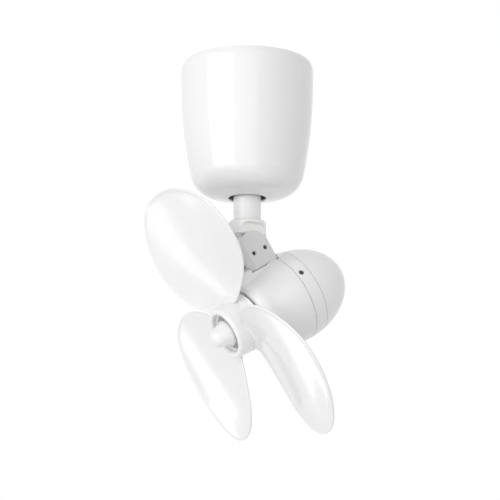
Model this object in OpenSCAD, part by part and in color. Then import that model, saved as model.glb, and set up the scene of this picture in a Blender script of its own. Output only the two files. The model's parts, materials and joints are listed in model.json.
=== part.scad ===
// Ceiling corner fan: a three-bladed fan that hangs from a deep cup under the ceiling.
// A geared motor in the cup swings the neck, a hinge under the neck tilts the motor,
// and the motor turns one moulded propeller that a hand-tight nose nut holds.
// The origin is the centre of the ceiling face. +Z is up and the fan faces -Y.

/* [Canopy] */
// Largest radius of the canopy cup
canopy_r = 89; // [84:0.5:100]
// Height from the ceiling to the edge of the bottom hole
canopy_h = 185; // [175:1:210]
// Wall of the canopy
canopy_wall = 3; // [2:0.25:4]
// How far the rim draws in at the ceiling
rim_draw = 3; // [1:0.5:4]
// Height over which the rim draws in
rim_h = 9; // [5:1:12]
// How much narrower the canopy is where its bottom corner starts
canopy_taper = 14; // [8:0.5:18]
// Outside radius of the bottom corner
corner_r = 33; // [24:1:38]
// Slope of the side at the corner, and of the bottom, in degrees
edge_slope = 12; // [8:0.5:16]
// Radius of the bottom hole
hole_r = 25; // [23:0.5:28]

/* [Ceiling plate] */
// Thickness of the ceiling plate
plate_t = 3; // [2:0.5:4]
// Gap from the plate's edge to the canopy wall
plate_gap = 1; // [0.5:0.25:2]
// Radius of the circle of ceiling bolts
bolt_circle_r = 50; // [42:1:52]
// Radius of each ceiling bolt hole
bolt_hole_r = 3.25; // [2.25:0.25:4.5]
// Radius of the cable hole in the plate
cable_hole_r = 12; // [8:0.5:14]
// Angle that each canopy hook covers, in degrees
hook_span = 20; // [14:1:26]
// Radius of the canopy lock screw
lock_screw_r = 2; // [1.5:0.25:2.5]

/* [Chassis] */
// Depth of the chassis top face below the ceiling
chassis_depth = 70; // [64:1:80]
// Thickness of the chassis plate
chassis_t = 3; // [2:0.5:4]
// Radius of the chassis plate
chassis_r = 68; // [66:0.5:71]
// Radius of the circle of standoffs
standoff_circle_r = 60; // [59:0.5:62]
// Radius of a standoff
standoff_r = 4; // [3.5:0.25:4.5]
// Height of the control board above the chassis
board_lift = 34; // [32:1:40]

/* [Neck] */
// Outside radius of the neck tube
tube_r = 18.3; // [17:0.1:19]
// Wall of the neck tube
tube_wall = 4; // [3:0.25:5]
// Depth of the collar's top below the ceiling
collar_depth = 216.5; // [211.5:0.5:222]
// Running clearance round turning shafts
run_gap = 0.05; // [0.03:0.01:0.08]
// Wall of the neck bushes
bush_wall = 4.2; // [3.5:0.1:4.6]
// Length of each neck bush
bush_len = 20; // [14:1:24]
// Thickness of a bush flange
bush_flange_t = 2.5; // [2:0.5:3]
// Length of the bearing housing below the chassis top
housing_len = 100; // [90:1:102]
// Axial gap between turning and still faces
face_gap = 0.3; // [0.3:0.05:0.5]

/* [Swing drive] */
// Gear module, the pitch diameter over the number of teeth
gear_mod = 1.5; // [1.4:0.05:1.55]
// Teeth on the neck gear
gear_teeth = 54; // [52:1:56]
// Teeth on the motor pinion
pinion_teeth = 12; // [11:1:13]
// Face width of the neck gear
gear_w = 8; // [6:0.5:10]
// Slack between meshing teeth
backlash = 0.5; // [0.4:0.05:0.7]
// Swing to each side of the middle, in degrees
swing = 45; // [30:1:50]
// Radius of the stop pin
stop_pin_r = 3; // [2.5:0.25:3.25]
// Radius of the swing motor's can
swing_can_r = 21; // [18:0.5:22]
// Height of the swing motor's can
swing_can_h = 22; // [16:1:28]

/* [Hinge] */
// Drop from the collar's top to the tilt axis
hinge_drop = 37; // [35:0.5:45]
// How far the tilt axis lies behind the neck axis
hinge_back = 2; // [0:0.5:3]
// Nose-down tilt at rest, in degrees
tilt = 31; // [10:1:60]
// Radius of the yoke barrel
yoke_r = 25; // [24.6:0.1:27]
// Clearance between the yoke barrel and the bracket ears
ear_clear = 4; // [3:0.25:5]
// Half distance between the two flats of the yoke
flat_half = 18; // [17.5:0.25:18.5]
// Half width of the knuckle between the bracket ears
knuckle_half = 8.7; // [8:0.1:8.7]
// Radius of the knuckle round the hinge bolt
knuckle_r = 14; // [12:0.5:15]
// Radius of the hinge bolt
hinge_bolt_r = 3; // [2.5:0.25:3.25]
// Half gap between the bracket ears
ear_half = 10; // [10:0.1:10.5]
// Sheet thickness of the tilt bracket
bracket_t = 3; // [2.5:0.25:3.25]
// Half width of the hinge cover
cover_half = 20.5; // [20.25:0.25:21.5]
// Half depth of the hinge cover, and the radius of its round top
cover_r = 21; // [20.5:0.25:22]
// Wall of the hinge cover
cover_wall = 2.2; // [1.6:0.1:2.2]
// Distance from the tilt axis down to the seat on the motor
seat_drop = 29; // [28:0.5:31]
// Gap between the hinge cover and the motor
cover_gap = 1; // [0.6:0.1:1.5]
// Radius of a cover screw recess
recess_r = 3; // [2.9:0.1:3.2]

/* [Motor] */
// Distance from the tilt axis to the motor axis
motor_drop = 82.5; // [82:0.5:88]
// Largest radius of the motor housing
motor_r = 60; // [59:0.5:63]
// Wall of the motor housing
motor_wall = 3; // [2.5:0.25:3.5]
// Front face of the motor, ahead of the tilt axis
motor_front = 47; // [45:0.5:48]
// Radius of the flat front face
front_face_r = 41; // [38:0.5:43]
// Radius of the motor behind its front shoulder
shoulder_r = 51; // [49:0.5:53]
// Length of the front shoulder
shoulder_len = 14; // [10:0.5:18]
// Front seam, behind the tilt axis
seam_back = 17; // [16:0.5:18]
// Width of the band between the two seams
band_w = 19; // [17:0.5:20]
// Width of a seam groove
seam_gap = 0.8; // [0.4:0.1:1.2]
// Length of the rear dome from its centre to its tip
dome_len = 83; // [76:0.5:90]
// Radius of the motor shaft
shaft_r = 4; // [3.5:0.25:4.25]
// Outside radius of the stator
stator_r = 46; // [43:0.5:47]
// Length of the stator stack
stator_len = 30; // [22:1:34]
// Air gap between rotor and stator
air_gap = 0.5; // [0.4:0.05:0.8]

/* [Propeller] */
// Radius swept by the blade tips
sweep_r = 203; // [180:1:215]
// Number of blades
blades = 3; // [2:1:3]
// Widest half chord of a blade
blade_half = 99; // [80:1:101]
// Half chord at the root
root_half = 25; // [17:0.5:28]
// Thickness of a blade
blade_t = 3; // [2.5:0.1:4]
// Pitch of the blade at its root, in degrees
root_pitch = 16.5; // [12:0.5:20]
// Pitch of the blade at its tip, in degrees
tip_pitch = 6; // [3:0.5:9]
// Depth of the hollow across a blade
camber = 4; // [0:0.5:6]
// How far the blades rake forward at mid length
rake = 8.5; // [4:0.5:10]
// Radius of the hub's front lip
hub_r = 35; // [31:0.5:37]
// Radius of the hub at its back edge
hub_flare_r = 42.5; // [37:0.5:45]
// Depth of the hub from lip to back edge
hub_len = 40; // [36:0.5:41]
// Wall of the hub
hub_wall = 3.7; // [3:0.1:4]
// Radius of the round lip at the hub's front
hub_lip = 4; // [2.5:0.25:4.5]
// Gap between the hub and the motor face
hub_gap = 3; // [2:0.25:4]
// Base radius of the nose nut
nose_r = 17.5; // [15:0.5:18]
// Length of the nose nut
nose_len = 26.5; // [24:0.5:38]
// Radius of the nose nut's round tip
nose_tip_r = 13; // [7:0.5:14]

/* [Hidden] */
$fn = 64;
eps = 0.01;
overcut = 1;

// canopy profile, as depths below the ceiling
arc_end_r = canopy_r - canopy_taper - corner_r * (cos(edge_slope) - sin(edge_slope));
cone_drop = (arc_end_r - hole_r) * tan(edge_slope);
shoulder_depth = canopy_h - cone_drop - corner_r * (cos(edge_slope) - sin(edge_slope));
side_power = tan(edge_slope) * (shoulder_depth - rim_h) / canopy_taper;
corner_c = [canopy_r - canopy_taper - corner_r * cos(edge_slope),
            shoulder_depth - corner_r * sin(edge_slope)];
rim_inner_r = canopy_r - rim_draw - canopy_wall;

// ceiling plate
plate_r = rim_inner_r - plate_gap;
hook_angles = [95, 215, 335];
hook_t = 3;
hook_r = plate_r - 6;
hook_lip = 4.5;
hook_drop = 7;
tab_t = 3;
lock_angle = 155;
lock_drop = 11;
lock_tab_w = 14;
lock_head_h = 2.5;
bolt_angles = [0, 90, 180, 270];
standoff_angles = [45, 165, 285];

// chassis
chassis_top = -chassis_depth;
chassis_bottom = chassis_top - chassis_t;
standoff_reach = 7;
screw_r = 2;
screw_head_r = 3.5;
screw_head_h = 2.5;
small_screw_r = 1.5;
small_head_r = 2.8;
small_head_h = 2;
board_x = 86;
board_y = 70;
board_t = 1.6;
board_post = [38, 30];
board_post_r = 3;
board_blocks = [[[-30, -6], [19, 15, 15]], [[-4, -8], [28, 24, 17]], [[-28, 16], [14, 8, 8]]];
board_cans = [[[30, -10], 5, 16], [[30, 8], 4, 12]];
terminal_size = [34, 16, 14];
terminal_y = -28;

// bearing stack of the neck
bush_r = tube_r + run_gap + bush_wall;
housing_r = bush_r + 4;
housing_flange_r = housing_r + 7.5;
housing_flange_t = 5;
housing_screw_r = housing_r + 4;
housing_bottom = chassis_top - housing_len;
relief = 1;
bush_flange_r = bush_r + 3.5;
washer_t = 1.2;
washer_top = chassis_top + bush_flange_t + washer_t;

// swing gear train
gear_bottom = washer_top + face_gap;
gear_top = gear_bottom + gear_w;
gear_pitch_r = gear_mod * gear_teeth / 2;
pinion_pitch_r = gear_mod * pinion_teeth / 2;
gear_center = gear_pitch_r + pinion_pitch_r;
gear_hub_r = tube_r + 6.7;
gear_hub_h = 8;
gear_pin_r = 2;
pin_z = gear_top + gear_hub_h / 2;
ring_bottom = gear_top + gear_hub_h;
ring_t = 1.8;
ring_groove = 1.3;
ring_w = 4;
tube_top = ring_bottom + ring_t + 3;
slot_r = (gear_hub_r + gear_pitch_r - 1.25 * gear_mod) / 2;
stop_clear = 0.3;
slot_half = swing + 1;
swing_offset = 7;
swing_center = gear_center + swing_offset;
output_r = 3;
boss_r = 6;
swing_ear = swing_can_r + 5;

// neck tube and yoke
socket_depth = 4;
tube_bottom = -collar_depth - socket_depth;
tube_bore_r = tube_r - tube_wall;
spigot_len = 27;
spigot_top = tube_bottom + spigot_len;
neck_screw_z = -collar_depth + 7;
hinge_depth = collar_depth + hinge_drop;
bracket_ear_r = 13.5;
yoke_bottom = -hinge_depth + bracket_ear_r + ear_clear;
shoulder_round = 3;
flat_top = -collar_depth - 5;
flat_round = 10;
wire_r = 6;
wire_exit_r = 4;

// hinge, in the tilting frame
hinge_washer_t = 1;
bracket_half = ear_half + bracket_t;
base_half = 17;
base_top = bracket_t - seat_drop;
flange_h = 16;
bracket_bolt_y = 9;
bracket_bolt_r = 2.5;
bolt_head_r = 4.8;
bolt_head_h = 4;
cover_inner = cover_half - cover_wall;
cover_bottom = cover_gap - seat_drop;
cover_screws = [[-5.5, -7.5], [13, -7.5]];
recess_wall = 1.2;
recess_floor = 1.5;
web_top = 1;
web_screw_x = 6;
web_screw_z = -17.5;

// motor, measured along its axis ahead of the tilt axis
band_front = -seam_back - seam_gap / 2;
band_back = -seam_back - band_w + seam_gap / 2;
shell_end = -seam_back + seam_gap / 2;
dome_front = band_back - seam_gap;
dome_center = -seam_back - 2;
sleeve_lap = 5;
sleeve_front = -seam_back + sleeve_lap;
sleeve_back = -seam_back - band_w - sleeve_lap;
sleeve_r = motor_r - motor_wall - 1;
sleeve_inner_r = sleeve_r - 3;
stator_back = -12;
stator_front = stator_back + stator_len;
winding_len = 8;
winding_clear = 2;
bell_t = 7;
bell_front = stator_back - winding_len - winding_clear;
bell_back = bell_front - bell_t;
bell_r = sleeve_inner_r;
leg_r = 5;
stator_bore_r = 27;
bolt_ring_r = stator_r - leg_r + 1;
through_r = 2;
winding_inner_r = stator_bore_r + 1;
winding_outer_r = bolt_ring_r - leg_r - 0.5;
rotor_core_r = stator_bore_r - air_gap;
end_ring_len = 4;
bearing_r = shaft_r + run_gap + 4;
bearing_len = 14;
bearing_boss_r = bearing_r + 5;
front_bearing_front = motor_front + 7;
front_bearing_back = front_bearing_front - bearing_len;
rear_bearing_back = bell_back - 8;
rear_bearing_front = rear_bearing_back + bearing_len;
clip_t = 1.2;
clip_w = 3.5;
clip_groove = 0.8;
clip_places = [rear_bearing_back - face_gap - clip_t, front_bearing_front + face_gap];
shaft_back = clip_places[0] - 3;
housing_screw_turns = [24, -90, 156];
housing_screw_pos = bell_front - small_screw_r - 1;
housing_recess_r = 3.5;
housing_seat_r = motor_r - 2.4;
seat_floor = 3.5;
seat_y = motor_drop - seat_drop;
seat_clear = 1;
pedestal_half = cover_half + 1.5;
pedestal_set_back = 1.5;
hump_h = 6;
hump_bevel = 5.5;
hump_flat = 7;
hump_len = 19;
tongue_rise = 0.3;
tongue_fall = 2.9;
tongue_front_y = motor_r + tongue_rise;
tongue_back_y = tongue_front_y - tongue_fall;

// propeller, in the same motor frame
hub_back = motor_front + hub_gap;
hub_front = hub_back + hub_len;
hub_mid = hub_back + 12;
hub_mid_r = hub_r + 2;
hub_floor = hub_back + 16;
hub_floor_t = 5;
hub_well_r = hub_r - 2 * hub_lip;
hub_step_r = hub_well_r - 3;
hub_step_depth = 8;
hub_boss_r = 12;
hub_boss_back = hub_back + 8;
hub_boss_front = hub_front - 10;
drive_pin_r = 1.5;
drive_pin_half = 9;
drive_pin_pos = hub_boss_back + drive_pin_r;
nose_base = hub_front - 6;
nose_neck_r = 9;
nose_tip = nose_base + nose_len;
thread_end = nose_base + 18;
nose_ribs = 24;
nose_rib_w = 1.2;
nose_rib_len = 9;
nose_rib_up = 0.4;
root_r = hub_r - hub_wall - 0.8;
blade_span = sweep_r - root_r;
blade_base = hub_back + 20;
belly_at = 0.62;
lead_turn = -1.8;
blade_sweep = 9.3;
tip_narrow = 6.5;
blade_rows = 18;
blade_cols = 10;

// general shapes

// A ring between two radii, standing from z0 to z1
module ring(outer, inner, z0, z1) {
    difference() {
        translate([0, 0, z0]) cylinder(r = outer, h = z1 - z0);
        translate([0, 0, z0 - overcut]) cylinder(r = inner, h = z1 - z0 + 2 * overcut);
    }
}

// A rod between two heights
module rod(r, z0, z1) {
    translate([0, 0, z0]) cylinder(r = r, h = z1 - z0);
}

// Puts children at a radius and an angle round the axis
module around(angles, r) {
    for (angle = angles) rotate(angle) translate([r, 0, 0]) children();
}

// Extrudes a drawing of the side view, given as (back, up), from x0 to x1
module across(x0, x1) {
    translate([x0, 0, 0]) rotate([90, 0, 90]) linear_extrude(x1 - x0) children();
}

// The tilting frame: X across, Y to the back, Z up, round the hinge bolt
module at_hinge() {
    translate([0, hinge_back, -hinge_depth]) rotate([tilt, 0, 0]) children();
}

// The motor frame: Z forward along the shaft, Y up, counted from the tilt axis
module at_motor() {
    at_hinge() translate([0, 0, -motor_drop]) rotate([90, 0, 0]) children();
}

// canopy and ceiling plate

function side_r(d) = d < rim_h ? canopy_r - rim_draw * pow((rim_h - d) / rim_h, 2)
    : canopy_r - canopy_taper * pow((d - rim_h) / (shoulder_depth - rim_h), side_power);

// Outline of the canopy, drawn in from its outside by an inset
function canopy_outline(inset) = concat(
    [for (i = [0:6]) [side_r(i * rim_h / 6) - inset, -i * rim_h / 6]],
    [for (i = [1:14]) let (d = rim_h + (shoulder_depth - rim_h) * i / 14) [side_r(d) - inset, -d]],
    [for (i = [1:10]) let (t = edge_slope + (90 - 2 * edge_slope) * i / 10)
        [corner_c[0] + (corner_r - inset) * cos(t), -corner_c[1] - (corner_r - inset) * sin(t)]],
    [[hole_r, -canopy_h + inset / cos(edge_slope)]]);

module canopy() {
    outer = canopy_outline(0);
    inner = canopy_outline(canopy_wall);
    inner_count = len(inner);
    tab_z = -plate_t - hook_drop + face_gap;
    color("white") difference() {
        union() {
            rotate_extrude($fn = 96)
                polygon(concat(outer, [for (i = [inner_count - 1:-1:0]) inner[i]]));
            for (angle = hook_angles) rotate(angle - hook_span / 2)
                rotate_extrude(angle = hook_span)
                    translate([hook_r + 1.5, tab_z]) square([canopy_r - canopy_wall - hook_r, tab_t]);
        }
        rotate(lock_angle) translate([plate_r, 0, -plate_t - lock_drop]) rotate([0, 90, 0])
            cylinder(r = lock_screw_r + 0.2, h = canopy_r);
    }
}

module ceiling_plate() {
    lip_z = -plate_t - hook_drop - hook_t;
    color("silver") difference() {
        union() {
            rod(plate_r, -plate_t, 0);
            for (angle = hook_angles) rotate(angle - hook_span / 2) rotate_extrude(angle = hook_span) {
                translate([hook_r - hook_t, lip_z]) square([hook_t, hook_drop + hook_t + eps]);
                translate([hook_r - eps, lip_z]) square([hook_lip, hook_t]);
            }
            rotate(lock_angle) translate([plate_r - 4, -lock_tab_w / 2, -plate_t - lock_drop - 6])
                cube([3.5, lock_tab_w, lock_drop + 6 + eps]);
        }
        around(bolt_angles, bolt_circle_r) rod(bolt_hole_r, -plate_t - overcut, overcut);
        rod(cable_hole_r, -plate_t - overcut, overcut);
        rotate(lock_angle) translate([plate_r - 6, 0, -plate_t - lock_drop]) rotate([0, 90, 0])
            cylinder(r = lock_screw_r, h = 8);
    }
}

module canopy_lock_screw() {
    d = plate_t + lock_drop;
    head_at = side_r(d);
    color("silver") rotate(lock_angle) translate([0, 0, -d]) rotate([0, 90, 0]) {
        rod(lock_screw_r, plate_r - 4, head_at + 1);
        rod(lock_screw_r + 1.6, head_at, head_at + lock_head_h);
    }
}

module standoffs() {
    color("silver") around(standoff_angles, standoff_circle_r) difference() {
        rod(standoff_r, chassis_top, -plate_t);
        rod(screw_r, chassis_top - overcut, chassis_top + 8);
    }
}

// chassis and what it carries

swing_ears = [[-swing_ear, swing_center], [swing_ear, swing_center]];
capacitor_size = [44, 22, 30];
capacitor_r = housing_flange_r + 3;
capacitor_angle = -30;

module board_corners() {
    for (x = [-1, 1], y = [-1, 1]) translate([x * board_post[0], y * board_post[1], 0]) children();
}

module chassis_plate() {
    color("silver") difference() {
        rod(chassis_r, chassis_bottom, chassis_top);
        rod(housing_r, chassis_bottom - overcut, chassis_top + overcut);
        around(standoff_angles, standoff_circle_r) rod(screw_r, chassis_bottom - overcut, chassis_top + overcut);
        around([45, 135, 225, 315], housing_screw_r)
            rod(small_screw_r, chassis_bottom - overcut, chassis_top + overcut);
        translate([0, gear_center, 0]) rod(boss_r + 1, chassis_bottom - overcut, chassis_top + overcut);
        for (ear = swing_ears) translate([ear[0], ear[1], 0])
            rod(small_screw_r, chassis_bottom - overcut, chassis_top + overcut);
        board_corners() rod(small_screw_r, chassis_bottom - overcut, chassis_top + overcut);
        translate([0, -slot_r, 0]) rod(stop_pin_r, chassis_bottom - overcut, chassis_top + overcut);
    }
}

module chassis_screws() {
    color("silver") around(standoff_angles, standoff_circle_r) {
        rod(screw_r, chassis_bottom - eps, chassis_top + standoff_reach);
        rod(screw_head_r, chassis_bottom - screw_head_h, chassis_bottom);
    }
}

module bearing_housing() {
    color("gainsboro") difference() {
        union() {
            rod(housing_r, housing_bottom, chassis_top);
            rod(housing_flange_r, chassis_bottom - housing_flange_t, chassis_bottom);
        }
        rod(bush_r, housing_bottom - overcut, chassis_top + overcut);
        rod(bush_r + relief, housing_bottom + bush_len, chassis_top - bush_len);
        around([45, 135, 225, 315], housing_screw_r)
            rod(small_screw_r, chassis_bottom - housing_flange_t - overcut, chassis_bottom + overcut);
    }
}

module bearing_housing_screws() {
    seat = chassis_bottom - housing_flange_t;
    color("silver") around([45, 135, 225, 315], housing_screw_r) {
        rod(small_screw_r, seat - eps, chassis_top);
        rod(small_head_r, seat - small_head_h, seat);
    }
}

module neck_bush() {
    bore = tube_r + run_gap;
    rotate_extrude() polygon([[bore, 0], [bush_r, 0], [bush_r, bush_len], [bush_flange_r, bush_len],
                              [bush_flange_r, bush_len + bush_flange_t], [bore, bush_len + bush_flange_t]]);
}

module upper_bush() {
    color("ivory") translate([0, 0, chassis_top - bush_len]) neck_bush();
}

module lower_bush() {
    color("ivory") translate([0, 0, housing_bottom + bush_len]) mirror([0, 0, 1]) neck_bush();
}

module thrust_washer() {
    color("silver") ring(bush_flange_r, tube_r + 0.5, washer_top - washer_t, washer_top);
}

module swing_motor() {
    color("silver") difference() {
        union() {
            translate([0, swing_center, 0]) rod(swing_can_r, chassis_bottom - swing_can_h, chassis_bottom);
            translate([-swing_ear - 4, swing_center - 4, chassis_bottom - 2]) cube([2 * swing_ear + 8, 8, 2]);
            translate([0, gear_center, 0]) rod(boss_r, chassis_bottom - eps, chassis_top + 1);
        }
        translate([0, gear_center, 0]) rod(output_r + run_gap, chassis_bottom - 10, chassis_top + 1 + overcut);
        for (ear = swing_ears) translate([ear[0], ear[1], 0])
            rod(small_screw_r, chassis_bottom - 2 - overcut, chassis_bottom + overcut);
    }
}

module swing_motor_screws() {
    color("silver") for (ear = swing_ears) translate([ear[0], ear[1], 0]) {
        rod(small_screw_r, chassis_bottom - 2 - eps, chassis_top);
        rod(small_head_r, chassis_bottom - 2 - small_head_h, chassis_bottom - 2);
    }
}

module stop_pin() {
    color("silver") translate([0, -slot_r, 0]) rod(stop_pin_r, chassis_bottom, gear_top + 1);
}

module board_posts() {
    color("ivory") board_corners() {
        rod(board_post_r, chassis_top, chassis_top + board_lift);
        rod(small_screw_r, chassis_bottom, chassis_top + eps);
        rod(small_screw_r, chassis_top + board_lift - eps, chassis_top + board_lift + board_t + 1);
    }
}

module control_board() {
    color("green") difference() {
        translate([-board_x / 2, -board_y / 2, chassis_top + board_lift]) cube([board_x, board_y, board_t]);
        board_corners() rod(small_screw_r, chassis_top, 0);
    }
}

module board_parts() {
    top = chassis_top + board_lift + board_t;
    color("dimgray") {
        for (block = board_blocks) translate([block[0][0], block[0][1], top]) cube(block[1]);
        for (can = board_cans) translate([can[0][0], can[0][1], top]) cylinder(r = can[1], h = can[2]);
    }
}

module run_capacitor() {
    color("white") rotate(capacitor_angle) translate([capacitor_r, -capacitor_size[0] / 2, 0])
        translate([0, 0, chassis_bottom - capacitor_size[2]])
            cube([capacitor_size[1], capacitor_size[0], capacitor_size[2]]);
}

module terminal_block() {
    color("ivory") difference() {
        translate([-terminal_size[0] / 2, terminal_y - terminal_size[1] / 2, -plate_t - terminal_size[2]])
            cube(terminal_size);
        for (i = [-1:1]) translate([i * 10, terminal_y, -plate_t - terminal_size[2] - overcut])
            cylinder(r = 2.5, h = 5);
        for (i = [-1:1]) translate([i * 10, terminal_y - terminal_size[1] / 2 - overcut, -plate_t - 8])
            rotate([-90, 0, 0]) cylinder(r = 2, h = 7);
    }
}

// swing drive

// Angle in degrees from which an involute reaches a radius
function involute_angle(base, r) = let (t = sqrt(max(0, pow(r / base, 2) - 1))) t * 180 / PI - atan(t);

// Outline of an involute gear with one tooth centred on +X
function gear_outline(teeth, slack) = let (
        pitch = gear_mod * teeth / 2,
        base = pitch * cos(20),
        tip = pitch + 0.9 * gear_mod,
        root = pitch - 1.25 * gear_mod,
        half = 90 / teeth - slack / 2 / pitch * 90 / PI + involute_angle(base, pitch),
        start = max(base, root),
        flank = [for (i = [0:4]) start + (tip - start) * i / 4])
    [for (n = [0:teeth - 1]) let (at = n * 360 / teeth) each concat(
        [root * [cos(at - half), sin(at - half)]],
        [for (r = flank) let (a = at - half + involute_angle(base, r)) r * [cos(a), sin(a)]],
        [for (i = [4:-1:0]) let (r = flank[i], a = at + half - involute_angle(base, r)) r * [cos(a), sin(a)]],
        [root * [cos(at + half), sin(at + half)]])];

module gear_body(teeth) {
    linear_extrude(gear_w) polygon(gear_outline(teeth, backlash));
}

// The pinion turned so that its gap faces the neck gear's tooth on +Y
module swing_pinion() {
    color("dimgray") translate([0, gear_center, 0]) {
        translate([0, 0, gear_bottom]) rotate(-90 + 180 / pinion_teeth) gear_body(pinion_teeth);
        rod(output_r, chassis_bottom - 8, gear_top + 2);
    }
}

module neck_gear() {
    color("ivory") difference() {
        union() {
            translate([0, 0, gear_bottom]) rotate(90) gear_body(gear_teeth);
            rod(gear_hub_r, gear_bottom, ring_bottom);
        }
        rod(tube_r, gear_bottom - overcut, ring_bottom + overcut);
        translate([0, 0, pin_z]) rotate([0, 90, 0]) rod(gear_pin_r, -gear_hub_r - overcut, gear_hub_r + overcut);
        translate([0, 0, gear_bottom - overcut]) linear_extrude(gear_w + 2 * overcut) stop_slot();
    }
}

// A point at a radius and an angle
function polar(r, t) = r * [cos(t), sin(t)];

// Half a turn round one end of the slot, from an angle on
function slot_cap(at, from) = [for (i = [1:7])
    polar(slot_r, at) + polar(stop_pin_r + stop_clear, from + 180 * i / 8)];

// The arc-shaped slot that the stop pin stands in
module stop_slot() {
    half_w = stop_pin_r + stop_clear;
    low = -90 - slot_half;
    high = -90 + slot_half;
    polygon(concat([for (i = [0:24]) polar(slot_r + half_w, low + (high - low) * i / 24)],
                   slot_cap(high, high),
                   [for (i = [24:-1:0]) polar(slot_r - half_w, low + (high - low) * i / 24)],
                   slot_cap(low, low + 180)));
}

module gear_pin() {
    color("silver") translate([0, 0, pin_z]) rotate([0, 90, 0]) rod(gear_pin_r, -gear_hub_r, gear_hub_r);
}

module retaining_ring() {
    color("dimgray") difference() {
        ring(tube_r - ring_groove + ring_w, tube_r - ring_groove, ring_bottom, ring_bottom + ring_t);
        translate([0, -3, ring_bottom - overcut]) cube([2 * tube_r, 6, ring_t + 2 * overcut]);
    }
}

// neck and yoke

module neck_tube() {
    color("white") difference() {
        rod(tube_r, tube_bottom, tube_top);
        rod(tube_bore_r, tube_bottom - overcut, tube_top + overcut);
        ring(tube_r + overcut, tube_r - ring_groove, ring_bottom, ring_bottom + ring_t);
        translate([0, 0, pin_z]) rotate([0, 90, 0]) rod(gear_pin_r, -tube_r - overcut, tube_r + overcut);
        translate([0, 0, neck_screw_z]) rotate([-90, 0, 0]) rod(screw_r, 0, tube_r + overcut);
    }
}

// Outline that cuts a flat on the yoke, with round upper corners
module yoke_flat_shape() {
    low = yoke_bottom - overcut;
    reach = sqrt(yoke_r * yoke_r - flat_half * flat_half);
    polygon(concat([[reach + overcut, low], [reach, flat_top - flat_round]],
                   [for (i = [1:6]) [reach - flat_round + flat_round * cos(15 * i),
                                     flat_top - flat_round + flat_round * sin(15 * i)]],
                   [for (i = [0:5]) [-reach + flat_round - flat_round * sin(15 * i),
                                     flat_top - flat_round + flat_round * cos(15 * i)]],
                   [[-reach, flat_top - flat_round], [-reach - overcut, low]]));
}

// Outline of the barrel with its round shoulder and the spigot that enters the neck tube
module yoke_barrel() {
    edge = yoke_r - shoulder_round;
    rotate_extrude() polygon(concat(
        [[0, yoke_bottom], [yoke_r, yoke_bottom]],
        [for (i = [0:6]) [edge + shoulder_round * cos(15 * i), -collar_depth - shoulder_round * (1 - sin(15 * i))]],
        [[tube_r, -collar_depth], [tube_r, tube_bottom], [tube_bore_r, tube_bottom],
         [tube_bore_r, spigot_top], [0, spigot_top]]));
}

module knuckle() {
    across(-knuckle_half, knuckle_half) {
        translate([hinge_back, -hinge_depth]) circle(r = knuckle_r);
        translate([hinge_back - knuckle_r, -hinge_depth])
            square([2 * knuckle_r, hinge_depth + yoke_bottom + overcut]);
    }
}

module yoke() {
    color("whitesmoke") difference() {
        union() {
            yoke_barrel();
            knuckle();
        }
        across(flat_half, yoke_r + overcut) yoke_flat_shape();
        across(-yoke_r - overcut, -flat_half) yoke_flat_shape();
        rod(wire_r, yoke_bottom + 2, spigot_top + overcut);
        translate([0, 0, yoke_bottom + 2 + wire_exit_r]) rotate([-90, 0, 0]) rod(wire_exit_r, 0, yoke_r + overcut);
        translate([0, hinge_back, -hinge_depth]) rotate([0, 90, 0])
            rod(hinge_bolt_r + run_gap, -knuckle_half - overcut, knuckle_half + overcut);
        translate([0, 0, neck_screw_z]) rotate([-90, 0, 0]) rod(screw_r, wire_r - overcut, tube_bore_r + overcut);
    }
}

module neck_lock_screw() {
    color("silver") translate([0, 0, neck_screw_z]) rotate([-90, 0, 0]) rod(screw_r, wire_r + 1, tube_r);
}

// hinge

module tilt_bracket() {
    color("silver") at_hinge() difference() {
        union() {
            for (side = [-1, 1]) across(side > 0 ? ear_half : -bracket_half, side > 0 ? bracket_half : -ear_half) {
                circle(r = bracket_ear_r);
                polygon([[-bracket_ear_r, -2], [bracket_ear_r, -2], [base_half, -12],
                         [base_half, -seat_drop], [-base_half, -seat_drop], [-base_half, -12]]);
            }
            translate([-bracket_half, -base_half, -seat_drop]) cube([2 * bracket_half, 2 * base_half, bracket_t]);
            translate([-bracket_half, -base_half, -seat_drop]) cube([2 * bracket_half, bracket_t, flange_h]);
        }
        for (side = [-1, 1]) translate([side * web_screw_x, 0, web_screw_z]) rotate([90, 0, 0])
            rod(small_screw_r, base_half - bracket_t - overcut, base_half + overcut);
        rotate([0, 90, 0]) rod(hinge_bolt_r, -bracket_half - overcut, bracket_half + overcut);
        for (y = [-1, 1]) translate([0, y * bracket_bolt_y, 0])
            rod(bracket_bolt_r, -seat_drop - overcut, base_top + overcut);
        for (at = cover_screws) translate([0, at[0], at[1]]) rotate([0, 90, 0])
            rod(small_screw_r, -bracket_half - overcut, bracket_half + overcut);
    }
}

module hinge_bolt() {
    color("dimgray") at_hinge() rotate([0, 90, 0]) difference() {
        union() {
            rod(hinge_bolt_r, -bracket_half - bolt_head_h, bracket_half + eps);
            rod(bolt_head_r, bracket_half, bracket_half + bolt_head_h);
        }
        translate([0, 0, bracket_half + 1.5]) cylinder(r = 2.3, h = bolt_head_h, $fn = 6);
    }
}

module hinge_nut() {
    color("dimgray") at_hinge() rotate([0, 90, 0]) difference() {
        translate([0, 0, -bracket_half - bolt_head_h]) cylinder(r = bolt_head_r, h = bolt_head_h, $fn = 6);
        rod(hinge_bolt_r, -bracket_half - bolt_head_h - overcut, -bracket_half + overcut);
    }
}

module hinge_washers() {
    color("dimgray") at_hinge() rotate([0, 90, 0]) {
        ring(knuckle_r - 4, hinge_bolt_r, ear_half - hinge_washer_t, ear_half);
        ring(knuckle_r - 4, hinge_bolt_r, -ear_half, -ear_half + hinge_washer_t);
    }
}

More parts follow.
